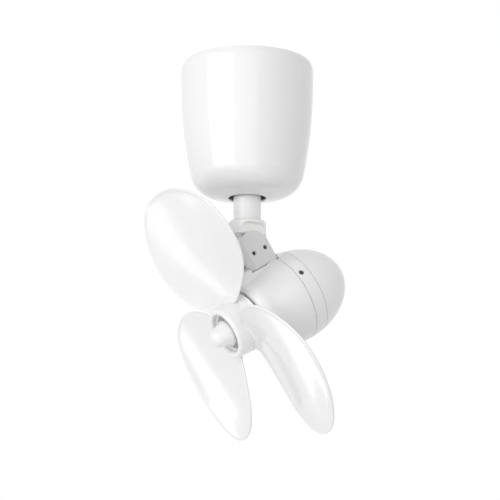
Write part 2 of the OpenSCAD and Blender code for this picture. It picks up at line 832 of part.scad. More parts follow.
module bracket_bolts() {
    color("dimgray") at_hinge() for (y = [-1, 1]) translate([0, y * bracket_bolt_y, 0]) {
        rod(bracket_bolt_r, -seat_drop - seat_floor, base_top + eps);
        rod(bracket_bolt_r + 2, base_top, base_top + 3);
    }
}

module cover_side_shape() {
    circle(r = cover_r);
    translate([-cover_r, cover_bottom]) square([2 * cover_r, -cover_bottom]);
}

module hinge_cover() {
    color("whitesmoke") at_hinge() difference() {
        union() {
            across(cover_inner, cover_half) cover_side_shape();
            across(-cover_half, -cover_inner) cover_side_shape();
            translate([-cover_half, -cover_r, cover_bottom])
                cube([2 * cover_half, cover_wall, web_top - cover_bottom]);
            for (side = [-1, 1], at = cover_screws) translate([0, at[0], at[1]]) rotate([0, side * 90, 0])
                rod(recess_r + recess_wall, bracket_half, cover_inner + eps);
            for (side = [-1, 1]) translate([side * web_screw_x, 0, web_screw_z]) rotate([90, 0, 0])
                rod(recess_r, base_half, cover_r - cover_wall + eps);
        }
        for (side = [-1, 1], at = cover_screws) translate([0, at[0], at[1]]) rotate([0, side * 90, 0]) {
            rod(recess_r, bracket_half + recess_floor, cover_half + overcut);
            rod(small_screw_r, bracket_half - overcut, cover_half + overcut);
        }
        for (side = [-1, 1]) translate([side * web_screw_x, 0, web_screw_z]) rotate([90, 0, 0])
            rod(small_screw_r, base_half - overcut, cover_r + overcut);
    }
}

module cover_screws() {
    color("dimgray") at_hinge() for (side = [-1, 1], at = cover_screws)
        translate([0, at[0], at[1]]) rotate([0, side * 90, 0]) {
            rod(small_screw_r, ear_half, bracket_half + recess_floor + eps);
            rod(small_head_r - 0.1, bracket_half + recess_floor, bracket_half + recess_floor + small_head_h);
        }
}

module web_screws() {
    color("dimgray") at_hinge() for (side = [-1, 1])
        translate([side * web_screw_x, 0, web_screw_z]) rotate([90, 0, 0]) {
            rod(small_screw_r, base_half - bracket_t, cover_r + eps);
            rod(small_head_r, cover_r, cover_r + 1.2);
        }
}

// motor housing

function ease(u) = (1 - cos(180 * u)) / 2;

// Outline of the front shell, drawn in from its outside by an inset
function shell_outline(inset) = concat(
    [for (i = [0:8]) let (t = 90 * i / 8)
        [front_face_r - inset + (shoulder_r - front_face_r) * sin(t),
         motor_front - shoulder_len + (shoulder_len - inset) * cos(t)]],
    [for (i = [1:10]) let (u = i / 10, z = motor_front - shoulder_len)
        [shoulder_r - inset + (motor_r - shoulder_r) * ease(u), z + (shell_end - z) * u]]);

module shell_solid(inset) {
    rotate_extrude($fn = 96) polygon(concat([[0, shell_end], [0, motor_front - inset]], shell_outline(inset)));
}

// The block that rises from the shell to carry the tilt bracket
module pedestal() {
    base_y = sqrt(pow(front_face_r, 2) - pow(pedestal_half, 2));
    translate([-pedestal_half, base_y, shell_end])
        cube([2 * pedestal_half, seat_y - base_y, motor_front - pedestal_set_back - shell_end]);
}

module seat_pocket() {
    translate([-pedestal_half, seat_y, -cover_r - seat_clear])
        cube([2 * pedestal_half, motor_r, cover_r + seat_clear + motor_front]);
}

// The end of the seat behind the cover, which rises from the band and falls to its back edge
module tongue() {
    front = -cover_r - seat_clear;
    difference() {
        translate([-pedestal_half, 0, 0]) rotate([90, 0, 90]) linear_extrude(2 * pedestal_half)
            polygon([[0, front], [tongue_front_y, front], [tongue_back_y, band_back], [0, band_back]]);
        rod(sleeve_r - 1, band_back - overcut, front + overcut);
    }
}

module shaft_boss() {
    rod(bearing_boss_r, front_bearing_back - 3, front_bearing_front);
}

module stator_bosses() {
    intersection() {
        around([45, 135, 225, 315], bolt_ring_r) rod(leg_r, stator_front, motor_front - eps);
        shell_solid(0);
    }
}

// The floor under the bracket seat, where the pocket cuts through the round wall
module seat_slab() {
    intersection() {
        translate([-cover_half - 3, seat_y - seat_floor, bell_front + 0.1])
            cube([2 * cover_half + 6, seat_floor, cover_r + 2 - bell_front]);
        union() {
            rod(sleeve_inner_r - 0.1, bell_front, sleeve_front + 0.1);
            rod(motor_r, sleeve_front + 0.1, motor_front);
        }
    }
}

// The low wall of the seat ahead of the cover, with rounded sides, which falls towards the propeller
module seat_hump() {
    back = cover_r + seat_clear;
    low = seat_y - 1;
    top = seat_y + hump_h;
    cut = hump_bevel * (1 - sqrt(1 / 2));
    intersection() {
        translate([-pedestal_half, 0, 0]) rotate([90, 0, 90]) linear_extrude(2 * pedestal_half)
            polygon([[low, back], [top, back], [top, back + hump_flat], [low, back + hump_len]]);
        linear_extrude(back + hump_len) for (side = [0, 1]) mirror([side, 0])
            polygon([[-eps, low], [pedestal_half, low], [pedestal_half, top - hump_bevel],
                     [pedestal_half - cut, top - cut], [pedestal_half - hump_bevel, top], [-eps, top]]);
    }
}

module front_shell() {
    color("white") at_motor() {
        seat_hump();
        difference() {
            union() {
                difference() {
                    union() {
                        shell_solid(0);
                        pedestal();
                    }
                    shell_solid(motor_wall);
                    rod(sleeve_r, shell_end - overcut, sleeve_front);
                }
                shaft_boss();
                stator_bosses();
                seat_slab();
            }
            seat_pocket();
            rod(bearing_r, front_bearing_back, front_bearing_front + overcut);
            rod(shaft_r + 1, front_bearing_back - 3 - overcut, front_bearing_front);
            around([45, 135, 225, 315], bolt_ring_r) rod(through_r, stator_front - overcut, stator_front + 12);
            for (y = [-1, 1]) translate([0, seat_y + overcut, y * bracket_bolt_y]) rotate([90, 0, 0])
                cylinder(r = bracket_bolt_r, h = seat_floor + 2 * overcut);
        }
    }
}

// Radius of the round back at a place along the motor axis
function dome_r(z) = motor_r * sqrt(max(0, 1 - pow(min(0, z - dome_center) / dome_len, 2)));

module band_ring() {
    steps = 6;
    color("white") at_motor() difference() {
        union() {
            rotate_extrude($fn = 96) polygon(concat(
                [[sleeve_inner_r, sleeve_back], [sleeve_inner_r, sleeve_front], [sleeve_r, sleeve_front],
                 [sleeve_r, band_front]],
                [for (i = [0:steps]) let (z = band_front + (band_back - band_front) * i / steps) [dome_r(z), z]],
                [[sleeve_r, band_back], [sleeve_r, sleeve_back]]));
            tongue();
        }
        seat_pocket();
        around(housing_screw_turns, 0) translate([0, 0, housing_screw_pos]) rotate([0, 90, 0]) {
            rod(small_screw_r, sleeve_inner_r - overcut, motor_r + overcut);
            rod(housing_recess_r, housing_seat_r, motor_r + overcut);
        }
    }
}

// Outline of the round back, drawn in from its outside by an inset
function dome_outline(inset, front) = let (
        long = dome_len - inset,
        wide = motor_r - inset,
        first = asin((dome_center - front) / long))
    [for (i = [0:20]) let (t = first + (90 - first) * i / 20)
        [i == 20 ? 0 : wide * cos(t), dome_center - long * sin(t)]];

module rear_dome() {
    color("white") at_motor() difference() {
        rotate_extrude($fn = 96) polygon(concat([[0, dome_front]], dome_outline(0, dome_front)));
        rotate_extrude($fn = 96)
            polygon(concat([[0, dome_front + overcut]], dome_outline(motor_wall, dome_front + overcut)));
        rod(sleeve_r, sleeve_back, dome_front + overcut);
    }
}

module housing_screws() {
    color("dimgray") at_motor() around(housing_screw_turns, 0)
        translate([0, 0, housing_screw_pos]) rotate([0, 90, 0]) {
            rod(small_screw_r, bell_r - 7, housing_seat_r + eps);
            rod(housing_recess_r - 0.3, housing_seat_r, housing_seat_r + 1.5);
        }
}

// motor insides

module end_bell() {
    color("gainsboro") at_motor() difference() {
        union() {
            rod(bell_r, bell_back, bell_front);
            rod(bearing_boss_r, rear_bearing_back, bell_back + eps);
            around([45, 135, 225, 315], bolt_ring_r) rod(leg_r, bell_front - eps, stator_back);
        }
        rod(bearing_r, rear_bearing_back - overcut, rear_bearing_front);
        rod(shaft_r + 1, bell_back, bell_front + overcut);
        around([45, 135, 225, 315], bolt_ring_r) rod(through_r, bell_back - overcut, stator_back + overcut);
        around(housing_screw_turns, 0) translate([0, 0, housing_screw_pos]) rotate([0, 90, 0])
            rod(small_screw_r, bell_r - 8, bell_r + overcut);
    }
}

module stator_core() {
    color("slategray") at_motor() difference() {
        ring(stator_r, stator_bore_r, stator_back, stator_front);
        around([45, 135, 225, 315], bolt_ring_r) rod(through_r, stator_back - overcut, stator_front + overcut);
    }
}

module stator_windings() {
    color("chocolate") at_motor() {
        ring(winding_outer_r, winding_inner_r, stator_front, stator_front + winding_len);
        ring(winding_outer_r, winding_inner_r, stator_back - winding_len, stator_back);
    }
}

module through_bolts() {
    color("silver") at_motor() around([45, 135, 225, 315], bolt_ring_r) {
        rod(through_r, bell_back - eps, stator_front + 11);
        rod(screw_head_r, bell_back - screw_head_h, bell_back);
    }
}

module front_bearing() {
    color("goldenrod") at_motor() ring(bearing_r, shaft_r + run_gap, front_bearing_back, front_bearing_front);
}

module rear_bearing() {
    color("goldenrod") at_motor() ring(bearing_r, shaft_r + run_gap, rear_bearing_back, rear_bearing_front);
}

// rotor and propeller

module motor_shaft() {
    color("silver") at_motor() difference() {
        rod(shaft_r, shaft_back, thread_end);
        for (z = clip_places) ring(shaft_r + overcut, shaft_r - clip_groove, z, z + clip_t);
        translate([0, 0, drive_pin_pos]) rotate([0, 90, 0]) rod(drive_pin_r, -shaft_r - overcut, shaft_r + overcut);
    }
}

module rotor_core() {
    color("slategray") at_motor() difference() {
        union() {
            rod(rotor_core_r, stator_back, stator_front);
            rod(rotor_core_r - 4, stator_back - end_ring_len, stator_front + end_ring_len);
        }
        rod(shaft_r, stator_back - end_ring_len - overcut, stator_front + end_ring_len + overcut);
    }
}

module shaft_clips() {
    color("dimgray") at_motor() for (z = clip_places) difference() {
        ring(shaft_r - clip_groove + clip_w, shaft_r - clip_groove, z, z + clip_t);
        translate([0, -2, z - overcut]) cube([2 * shaft_r, 4, clip_t + 2 * overcut]);
    }
}

module drive_pin() {
    color("silver") at_motor() translate([0, 0, drive_pin_pos]) rotate([0, 90, 0])
        rod(drive_pin_r, -drive_pin_half, drive_pin_half);
}

// Outside radius of the hub at a place along the motor axis
function hub_side(z) = z < hub_mid
    ? hub_mid_r + (hub_flare_r - hub_mid_r) * pow((hub_mid - z) / (hub_mid - hub_back), 2)
    : hub_mid_r + (hub_r - hub_mid_r) * (z - hub_mid) / (hub_front - hub_mid);

module hub_shape() {
    lip_z = hub_front - hub_lip;
    rotate_extrude($fn = 96) polygon(concat(
        [for (i = [0:12]) let (z = hub_back + (lip_z - hub_back) * i / 12) [hub_side(z), z]],
        [for (i = [1:10]) [hub_r - hub_lip + hub_lip * cos(18 * i), lip_z + hub_lip * sin(18 * i)]],
        [[hub_well_r, hub_front - hub_step_depth],
         [hub_step_r, hub_front - hub_step_depth],
         [hub_step_r, hub_floor + hub_floor_t],
         [hub_boss_r, hub_floor + hub_floor_t], [hub_boss_r, hub_boss_front],
         [shaft_r, hub_boss_front], [shaft_r, hub_boss_back],
         [hub_boss_r, hub_boss_back], [hub_boss_r, hub_floor]],
        [for (i = [6:-1:0]) let (z = hub_back + (hub_floor - hub_back) * i / 6) [hub_side(z) - hub_wall, z]]));
}

// Half chord of a blade at a share of its span, before the tip is rounded
function half_chord(s) = s < belly_at
    ? blade_half - (blade_half - root_half) * pow(1 - s / belly_at, 2.5)
    : blade_half - tip_narrow * pow((s - belly_at) / (1 - belly_at), 2);

// A point on a blade: share of the span, place across from -1 to 1, and height over its middle
function blade_point(s, c, lift) = let (
        turn = lead_turn + blade_sweep * (1 - pow(1 - s / 0.7, 2)),
        pitch = tip_pitch + (root_pitch - tip_pitch) * pow(1 - s, 2),
        out = root_r + blade_span * s,
        tip = sqrt(1 - pow(s, 6)),
        along = c * half_chord(s) * tip,
        up = lift - camber * (1 - c * c) * tip,
        forward = blade_base + rake * (1 - pow(1 - s / 0.74, 2)) - along * sin(pitch) + up * cos(pitch),
        side = along * cos(pitch) + up * sin(pitch))
    [out * sin(turn) + side * cos(turn), out * cos(turn) - side * sin(turn), forward];

module blade() {
    row = blade_cols + 1;
    sheet = (blade_rows + 1) * row;
    places = [for (j = [0:blade_cols]) sin(90 * (2 * j / blade_cols - 1))];
    points = [for (face = [1, -1], i = [0:blade_rows], c = places)
        blade_point(0.9995 * sin(90 * i / blade_rows), c, face * blade_t / 2 * (1 - 0.55 * pow(c, 4)))];
    front = [for (i = [0:blade_rows - 1], j = [0:blade_cols - 1]) let (a = i * row + j)
        each [[a, a + row, a + row + 1], [a, a + row + 1, a + 1]]];
    rim = concat([for (j = [0:blade_cols]) j],
                 [for (i = [1:blade_rows]) i * row + blade_cols],
                 [for (j = [blade_cols - 1:-1:0]) blade_rows * row + j],
                 [for (i = [blade_rows - 1:-1:1]) i * row]);
    edge = [for (i = [0:len(rim) - 1]) let (a = rim[i], b = rim[(i + 1) % len(rim)])
        each [[a, b, b + sheet], [a, b + sheet, a + sheet]]];
    back = [for (f = front) [f[0] + sheet, f[2] + sheet, f[1] + sheet]];
    polyhedron(points, concat(front, edge, back));
}

module propeller() {
    color("white") at_motor() difference() {
        union() {
            hub_shape();
            difference() {
                for (n = [0:blades - 1]) rotate(-n * 360 / blades) blade();
                rod(hub_r - hub_wall + 0.5, hub_back, hub_front);
            }
        }
        translate([-drive_pin_half - 0.2, -drive_pin_r, hub_boss_back - overcut])
            cube([2 * drive_pin_half + 0.4, 2 * drive_pin_r, 2 * drive_pin_r + overcut]);
    }
}

module nose_nut() {
    shoulder = nose_base + 3;
    tip_z = nose_tip - nose_tip_r;
    reach = sqrt(nose_r * nose_r + pow(tip_z - shoulder, 2));
    first = acos(nose_tip_r / reach) - atan((tip_z - shoulder) / nose_r);
    color("white") at_motor() difference() {
        union() {
            rotate_extrude() polygon(concat(
                [[0, hub_boss_front], [nose_neck_r, hub_boss_front], [nose_neck_r, nose_base],
                 [nose_r, nose_base], [nose_r, shoulder]],
                [for (i = [0:10]) let (t = first + (90 - first) * i / 10)
                    [i == 10 ? 0 : nose_tip_r * cos(t), tip_z + nose_tip_r * sin(t)]]));
            around([for (i = [0:nose_ribs - 1]) i * 360 / nose_ribs], 0)
                translate([nose_r - 4, -nose_rib_w / 2, nose_base + 0.5])
                    cube([4 + nose_rib_up, nose_rib_w, nose_rib_len / 3]);
        }
        rod(shaft_r, hub_boss_front - overcut, thread_end + 1);
    }
}

ceiling_plate();
canopy();
canopy_lock_screw();
standoffs();
chassis_plate();
chassis_screws();
bearing_housing();
bearing_housing_screws();
upper_bush();
lower_bush();
thrust_washer();
swing_motor();
swing_motor_screws();
stop_pin();
board_posts();
control_board();
board_parts();
run_capacitor();
terminal_block();
swing_pinion();
neck_tube();
neck_gear();
gear_pin();
retaining_ring();
yoke();
neck_lock_screw();
tilt_bracket();
hinge_bolt();
hinge_nut();
hinge_washers();
bracket_bolts();
hinge_cover();
cover_screws();
web_screws();
front_shell();
band_ring();
rear_dome();
housing_screws();
end_bell();
stator_core();
stator_windings();
through_bolts();
front_bearing();
rear_bearing();
motor_shaft();
rotor_core();
shaft_clips();
drive_pin();
propeller();
nose_nut();
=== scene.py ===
"""A ceiling corner fan: a deep cup canopy, a swinging neck, a tilting round motor and its propeller."""

import json
import logging
import math
from dataclasses import dataclass
from enum import Enum
from typing import Any, Callable, Sequence

import bmesh
import bpy
import numpy as np
from mathutils import Matrix, Quaternion, Vector


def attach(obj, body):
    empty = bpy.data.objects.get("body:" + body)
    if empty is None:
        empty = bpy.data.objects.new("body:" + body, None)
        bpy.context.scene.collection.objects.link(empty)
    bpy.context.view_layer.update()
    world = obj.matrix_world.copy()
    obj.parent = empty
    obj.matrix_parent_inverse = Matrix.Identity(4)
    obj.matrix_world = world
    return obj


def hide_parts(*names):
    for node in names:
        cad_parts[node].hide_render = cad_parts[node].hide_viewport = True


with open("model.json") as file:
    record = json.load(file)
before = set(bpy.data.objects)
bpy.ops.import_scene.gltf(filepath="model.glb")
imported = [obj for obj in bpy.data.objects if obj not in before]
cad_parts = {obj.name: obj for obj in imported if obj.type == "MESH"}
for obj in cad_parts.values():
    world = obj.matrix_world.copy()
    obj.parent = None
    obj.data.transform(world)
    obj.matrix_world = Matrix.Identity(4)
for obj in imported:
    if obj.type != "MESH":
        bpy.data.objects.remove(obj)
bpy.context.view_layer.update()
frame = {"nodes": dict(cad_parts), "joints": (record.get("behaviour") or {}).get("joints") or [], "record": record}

log = logging.getLogger("corner_fan")

MM = 0.001
SHARPEST_TURN = 3.1
QUARTER = math.pi / 2
Array = np.ndarray


# Lines and frames

def unit(vectors: Array) -> Array:
    """Vectors of length one, with a zero vector left as it is.

    Args:
        vectors: any array whose last axis holds the coordinates.

    Returns:
        An array of the same shape.
    """
    length = np.linalg.norm(vectors, axis=-1, keepdims=True)
    return vectors / np.where(length > 0, length, 1.0)


def distinct(line: Array, gap: float = 1e-4) -> Array:
    """A line without points that repeat the one before them."""
    step = np.linalg.norm(np.diff(line, axis=0), axis=1)
    return line[np.concatenate([[True], step > gap])]


def pulled_curve(start: Any, corner: Any, end: Any, weight: Any, share: Array) -> Array:
    """A rational curve of the second degree, pulled towards a corner between its ends.

    Start, corner and end are added in the parts (1 - u) squared, 2 w u (1 - u) and u squared, over the
    sum of the parts. It is a circular arc where w is the cosine of half the turn.

    Args:
        start: the first end.
        corner: the corner.
        end: the other end.
        weight: the weight w of the corner.
        share: the share u of the way.

    Returns:
        The curve's point for each share.
    """
    first, middle, last = (1 - share) ** 2, 2 * weight * share * (1 - share), share ** 2
    return (first * start + middle * corner + last * end) / (first + middle + last)


def rounded(corners: Array, closed: bool = False, steps: int = 6) -> Array:
    """Rounds the corners of a drawn line.

    Each corner becomes a circular arc, a pulled curve whose weight is the cosine of half the turn.

    Args:
        corners: rows of two coordinates and the radius of the corner.
        closed: whether the last corner joins the first.
        steps: pieces in each arc.

    Returns:
        The points of the line, rows of two coordinates.
    """
    spot = corners[:, :2]
    radius = corners[:, 2].copy()
    if not closed:
        radius[[0, -1]] = 0
    into = unit(spot - np.roll(spot, 1, axis=0))
    out = unit(np.roll(spot, -1, axis=0) - spot)
    turn = np.arccos(np.clip((into * out).sum(1), -1, 1))
    reach = np.where(radius > 0, radius * np.tan(np.minimum(turn, SHARPEST_TURN) / 2), 0)[:, None]
    start, end = (spot - into * reach)[:, None], (spot + out * reach)[:, None]
    u = np.linspace(0, 1, steps + 1)[None, :, None]
    weight = np.cos(turn / 2)[:, None, None]
    return distinct(pulled_curve(start, spot[:, None], end, weight, u).reshape(-1, 2))


def plain(line: Array) -> Array:
    """A drawn line with a corner radius of zero added to each point."""
    return np.column_stack([line, np.zeros(len(line))])


def spaced(line: Array, step: float) -> Array:
    """Adds points along a line so that none lie further apart than about a step.

    Args:
        line: the points of the line.
        step: the widest gap, which may be a quarter wider beside a point of the line.

    Returns:
        The line's own points and the added ones, in order.
    """
    along = np.concatenate([[0], np.cumsum(np.linalg.norm(np.diff(line, axis=0), axis=1))])
    extra = np.arange(step, along[-1], step)
    near = np.abs(extra[:, None] - along[None, :]).min(1)
    place = np.sort(np.concatenate([along, extra[near > step / 4]]))
    return np.column_stack([np.interp(place, along, line[:, k]) for k in range(line.shape[1])])


def closed_line(corners: Array, steps: int, step: float) -> Array:
    """A closed line with rounded corners and added points, ending where it starts."""
    loop = rounded(corners, closed=True, steps=steps)
    return spaced(np.concatenate([loop, loop[:1]]), step)


def at_heights(rows: Array, z: Array) -> Array:
    """Rows of flat points with the height of each row as their third coordinate."""
    return np.concatenate([rows, z[:, None, None] + 0 * rows[..., :1]], axis=-1)


def capped(grid: Array) -> Array:
    """A grid of closed rows that is closed at both ends by the middle point of its end row."""
    caps = grid[[0, -1]].mean(1, keepdims=True) + 0 * grid[[0, -1]]
    return np.concatenate([caps[:1], grid, caps[1:]])


def revolved(profile: Array, turns: Array) -> Array:
    """Turns a profile of radius and height round Z: x and y are the radius times cosine and sine."""
    radius, height = profile[:, :1], profile[:, 1:2]
    return np.stack([radius * np.cos(turns), radius * np.sin(turns), height + 0 * turns], axis=-1)


def circle_turns(count: int) -> Array:
    """Angles of a full circle in equal steps, without the last one."""
    return np.linspace(0, 2 * math.pi, count, endpoint=False)


def smoothstep(value: Array) -> Array:
    """Three times the square less twice the cube of a value held between 0 and 1."""
    held = np.clip(value, 0, 1)
    return held * held * (3 - 2 * held)


@dataclass(frozen=True)
class Axes:
    """A frame in which a piece is drawn, in millimetres."""

    origin: Array
    across: Array
    second: Array
    third: Array

    def place(self, points: Array) -> Array:
        """Turns drawn points into points of the fan."""
        return self.origin + points @ np.stack([self.across, self.second, self.third])

    def moved(self, x: float, y: float, z: float) -> "Axes":
        """The same axes with the origin moved along them."""
        return Axes(self.place(np.array([x, y, z])), self.across, self.second, self.third)

    def turned(self, across: str, second: str, third: str) -> "Axes":
        """The same origin with other axes, each named by its sign and letter here, such as "-x".

        Args:
            across: the new first axis.
            second: the new second axis.
            third: the new third axis.

        Returns:
            The turned frame.
        """
        named = {"x": self.across, "y": self.second, "z": self.third}
        pick = [named[name[1]] * (-1 if name[0] == "-" else 1) for name in (across, second, third)]
        return Axes(self.origin, *pick)


def joint(name: str) -> dict[str, Any]:
    """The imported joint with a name."""
    return next(item for item in frame["joints"] if item["name"] == name)


def hanging_axes() -> Axes:
    """The still frame: the ceiling face at the origin, X across, Y to the back, Z up."""
    return Axes(np.zeros(3), *np.eye(3))


def motor_axes() -> Axes:
    """The motor frame, worked out from the spin joint.

    Returns:
        X across, Y up to the hinge, Z forward along the shaft.
    """
    spin = joint("rotor_spin")
    forward = unit(np.array(spin["axis"], float))
    across = np.array([1.0, 0.0, 0.0])
    return Axes(np.array(spin["pos_m"]) / MM, across, np.cross(forward, across), forward)


def hinge_axes() -> Axes:
    """The tilting frame round the hinge bolt: X across, Y to the back, Z up from the motor."""
    motor = motor_axes()
    return Axes(np.array(joint("head_tilt")["pos_m"]) / MM, motor.across, -motor.third, motor.second)


# Skins

def added(name: str, data: Any) -> bpy.types.Object:
    """Adds an object to the scene.

    Args:
        name: its name.
        data: its mesh, lamp or camera.

    Returns:
        The new object.
    """
    made = bpy.data.objects.new(name, data)
    bpy.context.scene.collection.objects.link(made)
    return made


def shaded(work: bmesh.types.BMesh, mesh: bpy.types.Mesh, crease: float) -> None:
    """Writes worked faces into a mesh and makes them smooth.

    Args:
        work: the worked faces, which are freed.
        mesh: the mesh that takes them.
        crease: edges that turn more than this many degrees stay sharp.
    """
    work.to_mesh(mesh)
    work.free()
    mesh.polygons.foreach_set("use_smooth", np.ones(len(mesh.polygons), bool))
    mesh.set_sharp_from_angle(angle=math.radians(crease))


class Skin:
    """The points and faces of one piece, gathered as whole arrays in millimetres."""

    weld: float = 2e-7

    def __init__(self) -> None:
        """Starts with no points."""
        self.points: list[Array] = []
        self.faces: list[Array] = []
        self.count = 0

    def sheet(self, points: Array, around: bool = False, skip: Array | None = None) -> None:
        """Adds a sheet of four-sided faces over a grid of points.

        Args:
            points: rows by columns by three coordinates.
            around: whether the last column joins the first.
            skip: a mask of rows by columns that leaves faces out.
        """
        rows, cols = points.shape[:2]
        index = np.arange(rows * cols).reshape(rows, cols) + self.count
        if around:
            index = np.concatenate([index, index[:, :1]], axis=1)
        face = np.stack([index[:-1, :-1], index[:-1, 1:], index[1:, 1:], index[1:, :-1]], axis=-1)
        kept = face.reshape(-1, 4) if skip is None else face[~skip]
        self.points.append(points.reshape(-1, 3))
        self.faces.append(kept)
        self.count += rows * cols

    def lathe(self, profile: Array, sides: int) -> None:
        """Adds a profile of radius and height turned round Z."""
        self.sheet(revolved(profile, circle_turns(sides)), around=True)

    def build(self, name: str, axes: Axes, crease: float = 32.0) -> bpy.types.Object:
        """Welds the sheets into closed skins with faces outwards, and makes the object.

        Args:
            name: name of the piece.
            axes: the frame in which the points are drawn.
            crease: edges that turn more than this many degrees stay sharp.

        Returns:
            The new object, with its place in its mesh.
        """
        points = axes.place(np.concatenate(self.points)) * MM
        faces = np.concatenate(self.faces)
        mesh = bpy.data.meshes.new(name)
        mesh.vertices.add(len(points))
        mesh.vertices.foreach_set("co", points.astype(np.float32).ravel())
        mesh.loops.add(faces.size)
        mesh.loops.foreach_set("vertex_index", faces.astype(np.int32).ravel())
        mesh.polygons.add(len(faces))
        mesh.polygons.foreach_set("loop_start", np.arange(len(faces), dtype=np.int32) * 4)
        mesh.update(calc_edges=True)
        work = bmesh.new()
        work.from_mesh(mesh)
        bmesh.ops.remove_doubles(work, verts=work.verts, dist=self.weld)
        bmesh.ops.recalc_face_normals(work, faces=work.faces)
        shaded(work, mesh, crease)
        return added(name, mesh)


def slab(outline: Array, low: float, high: float, edge: float, steps: int = 4) -> Array:
    """A closed block: a round-cornered outline in Y and Z, carried along X, with rounded edges.

    The rows run from the middle of one flat side over its rounded edge to the other side. A row
    is the outline drawn in along its own normal by the edge radius times one less the sine.

    Args:
        outline: the closed outline, rows of Y and Z, bulging outwards everywhere.
        low: X of the first flat side.
        high: X of the second flat side.
        edge: radius of both rounded edges.
        steps: pieces in each rounded edge.

    Returns:
        Rows by outline points by three coordinates.
    """
    along = unit(np.roll(outline, -1, axis=0) - np.roll(outline, 1, axis=0))
    normal = np.column_stack([along[:, 1], -along[:, 0]])
    middle = outline.mean(0)
    normal *= np.sign(((outline - middle) * normal).sum(1).mean())
    t = np.linspace(0, QUARTER, steps + 1)
    draw = edge * np.concatenate([1 - np.sin(t), 1 - np.cos(t)])
    x = np.concatenate([low + edge * (1 - np.cos(t)), high - edge * (1 - np.sin(t))])
    rows = outline[None] - draw[:, None, None] * normal[None]
    centre = np.broadcast_to(middle, rows[:1].shape)
    flat = np.concatenate([centre, rows, centre])
    depth = np.concatenate([[low], x, [high]])[:, None, None]
    return np.concatenate([np.broadcast_to(depth, flat.shape[:2] + (1,)), flat], axis=-1)


@dataclass(frozen=True)
class Recess:
    """A round recess sunk in a sheet, drawn in the sheet's own two measures."""

    at: tuple[float, float]
    radius: float
    profile: Array
    steps: tuple[float, ...] = (0.0, 0.3, 0.6, 0.85)

    def patch(self, across: Array, along: Array,
              surface: Callable[[Array, Array, Array], Array]) -> Array:
        """The sheet between a block's border and the recess, and the recess itself.

        Each border point is joined to the point of the circle that lies in its direction, in a few
        steps, and then follows the recess's profile of radius share and depth to its middle.

        Args:
            across: first measure of the block's border, in order round it.
            along: second measure of the border.
            surface: gives points for two measures and a depth.

        Returns:
            Rows from the border to the middle, by border points, by three coordinates.
        """
        turn = np.arctan2(along - self.at[1], across - self.at[0])
        ring = np.stack([self.at[0] + self.radius * np.cos(turn), self.at[1] + self.radius * np.sin(turn)])
        share = np.array(self.steps)[:, None, None]
        outside = (1 - share) * np.stack([across, along]) + share * ring
        scale = self.profile[:, 0][:, None]
        inside = np.stack([self.at[0] + scale * self.radius * np.cos(turn),
                           self.at[1] + scale * self.radius * np.sin(turn)], axis=1)
        both = np.concatenate([outside, inside])
        depth = np.concatenate([np.zeros(len(share)), self.profile[:, 1]])[:, None]
        return surface(both[:, 0], both[:, 1], depth + 0 * both[:, 0])


def border(grid: Array, rows: slice, cols: slice) -> Array:
    """The values of a grid along the border of a block of its faces, in order round it."""
    top, bottom, left, right = rows.start, rows.stop, cols.start, cols.stop
    return np.concatenate([grid[top, left:right], grid[top:bottom, right],
                           grid[bottom, right:left:-1], grid[bottom:top:-1, left]])


def cup(radius: float, depth: float, lip: float = 0.25) -> Array:
    """Profile of a recess with a rounded lip and floor corner.

    Args:
        radius: radius of the recess.
        depth: its depth.
        lip: radius of both corners.

    Returns:
        Rows of radius share and depth, from the lip to the middle.
    """
    corners = [[radius + lip, 0, 0], [radius, 0, lip], [radius, depth, lip], [0, depth, 0]]
    line = rounded(np.array(corners), steps=4)
    return np.column_stack([line[1:, 0] / radius, line[1:, 1]])


# Materials

class Wire:
    """An output of a material's nodes, on which plain sums can be written."""

    def __init__(self, bench: "Bench", socket: bpy.types.NodeSocket) -> None:
        """Wraps a socket."""
        self.bench = bench
        self.socket = socket

    def maths(self, operation: str, *values: Any) -> "Wire":
        """Adds a Math node."""
        return self.bench.node("ShaderNodeMath", {"operation": operation}, dict(enumerate(values)))

    def __add__(self, other: Any) -> "Wire":
        """Sum."""
        return self.maths("ADD", self, other)

    def __radd__(self, other: Any) -> "Wire":
        """Sum."""
        return self.maths("ADD", other, self)

    def __sub__(self, other: Any) -> "Wire":
        """Difference."""
        return self.maths("SUBTRACT", self, other)

    def __mul__(self, other: Any) -> "Wire":
        """Product."""
        return self.maths("MULTIPLY", self, other)

    def held(self, low: float, high: float) -> "Wire":
        """The value held between two limits."""
        return self.maths("MINIMUM", self.maths("MAXIMUM", self, low), high)

    def sine(self) -> "Wire":
        """The sine of the value."""
        return self.maths("SINE", self)


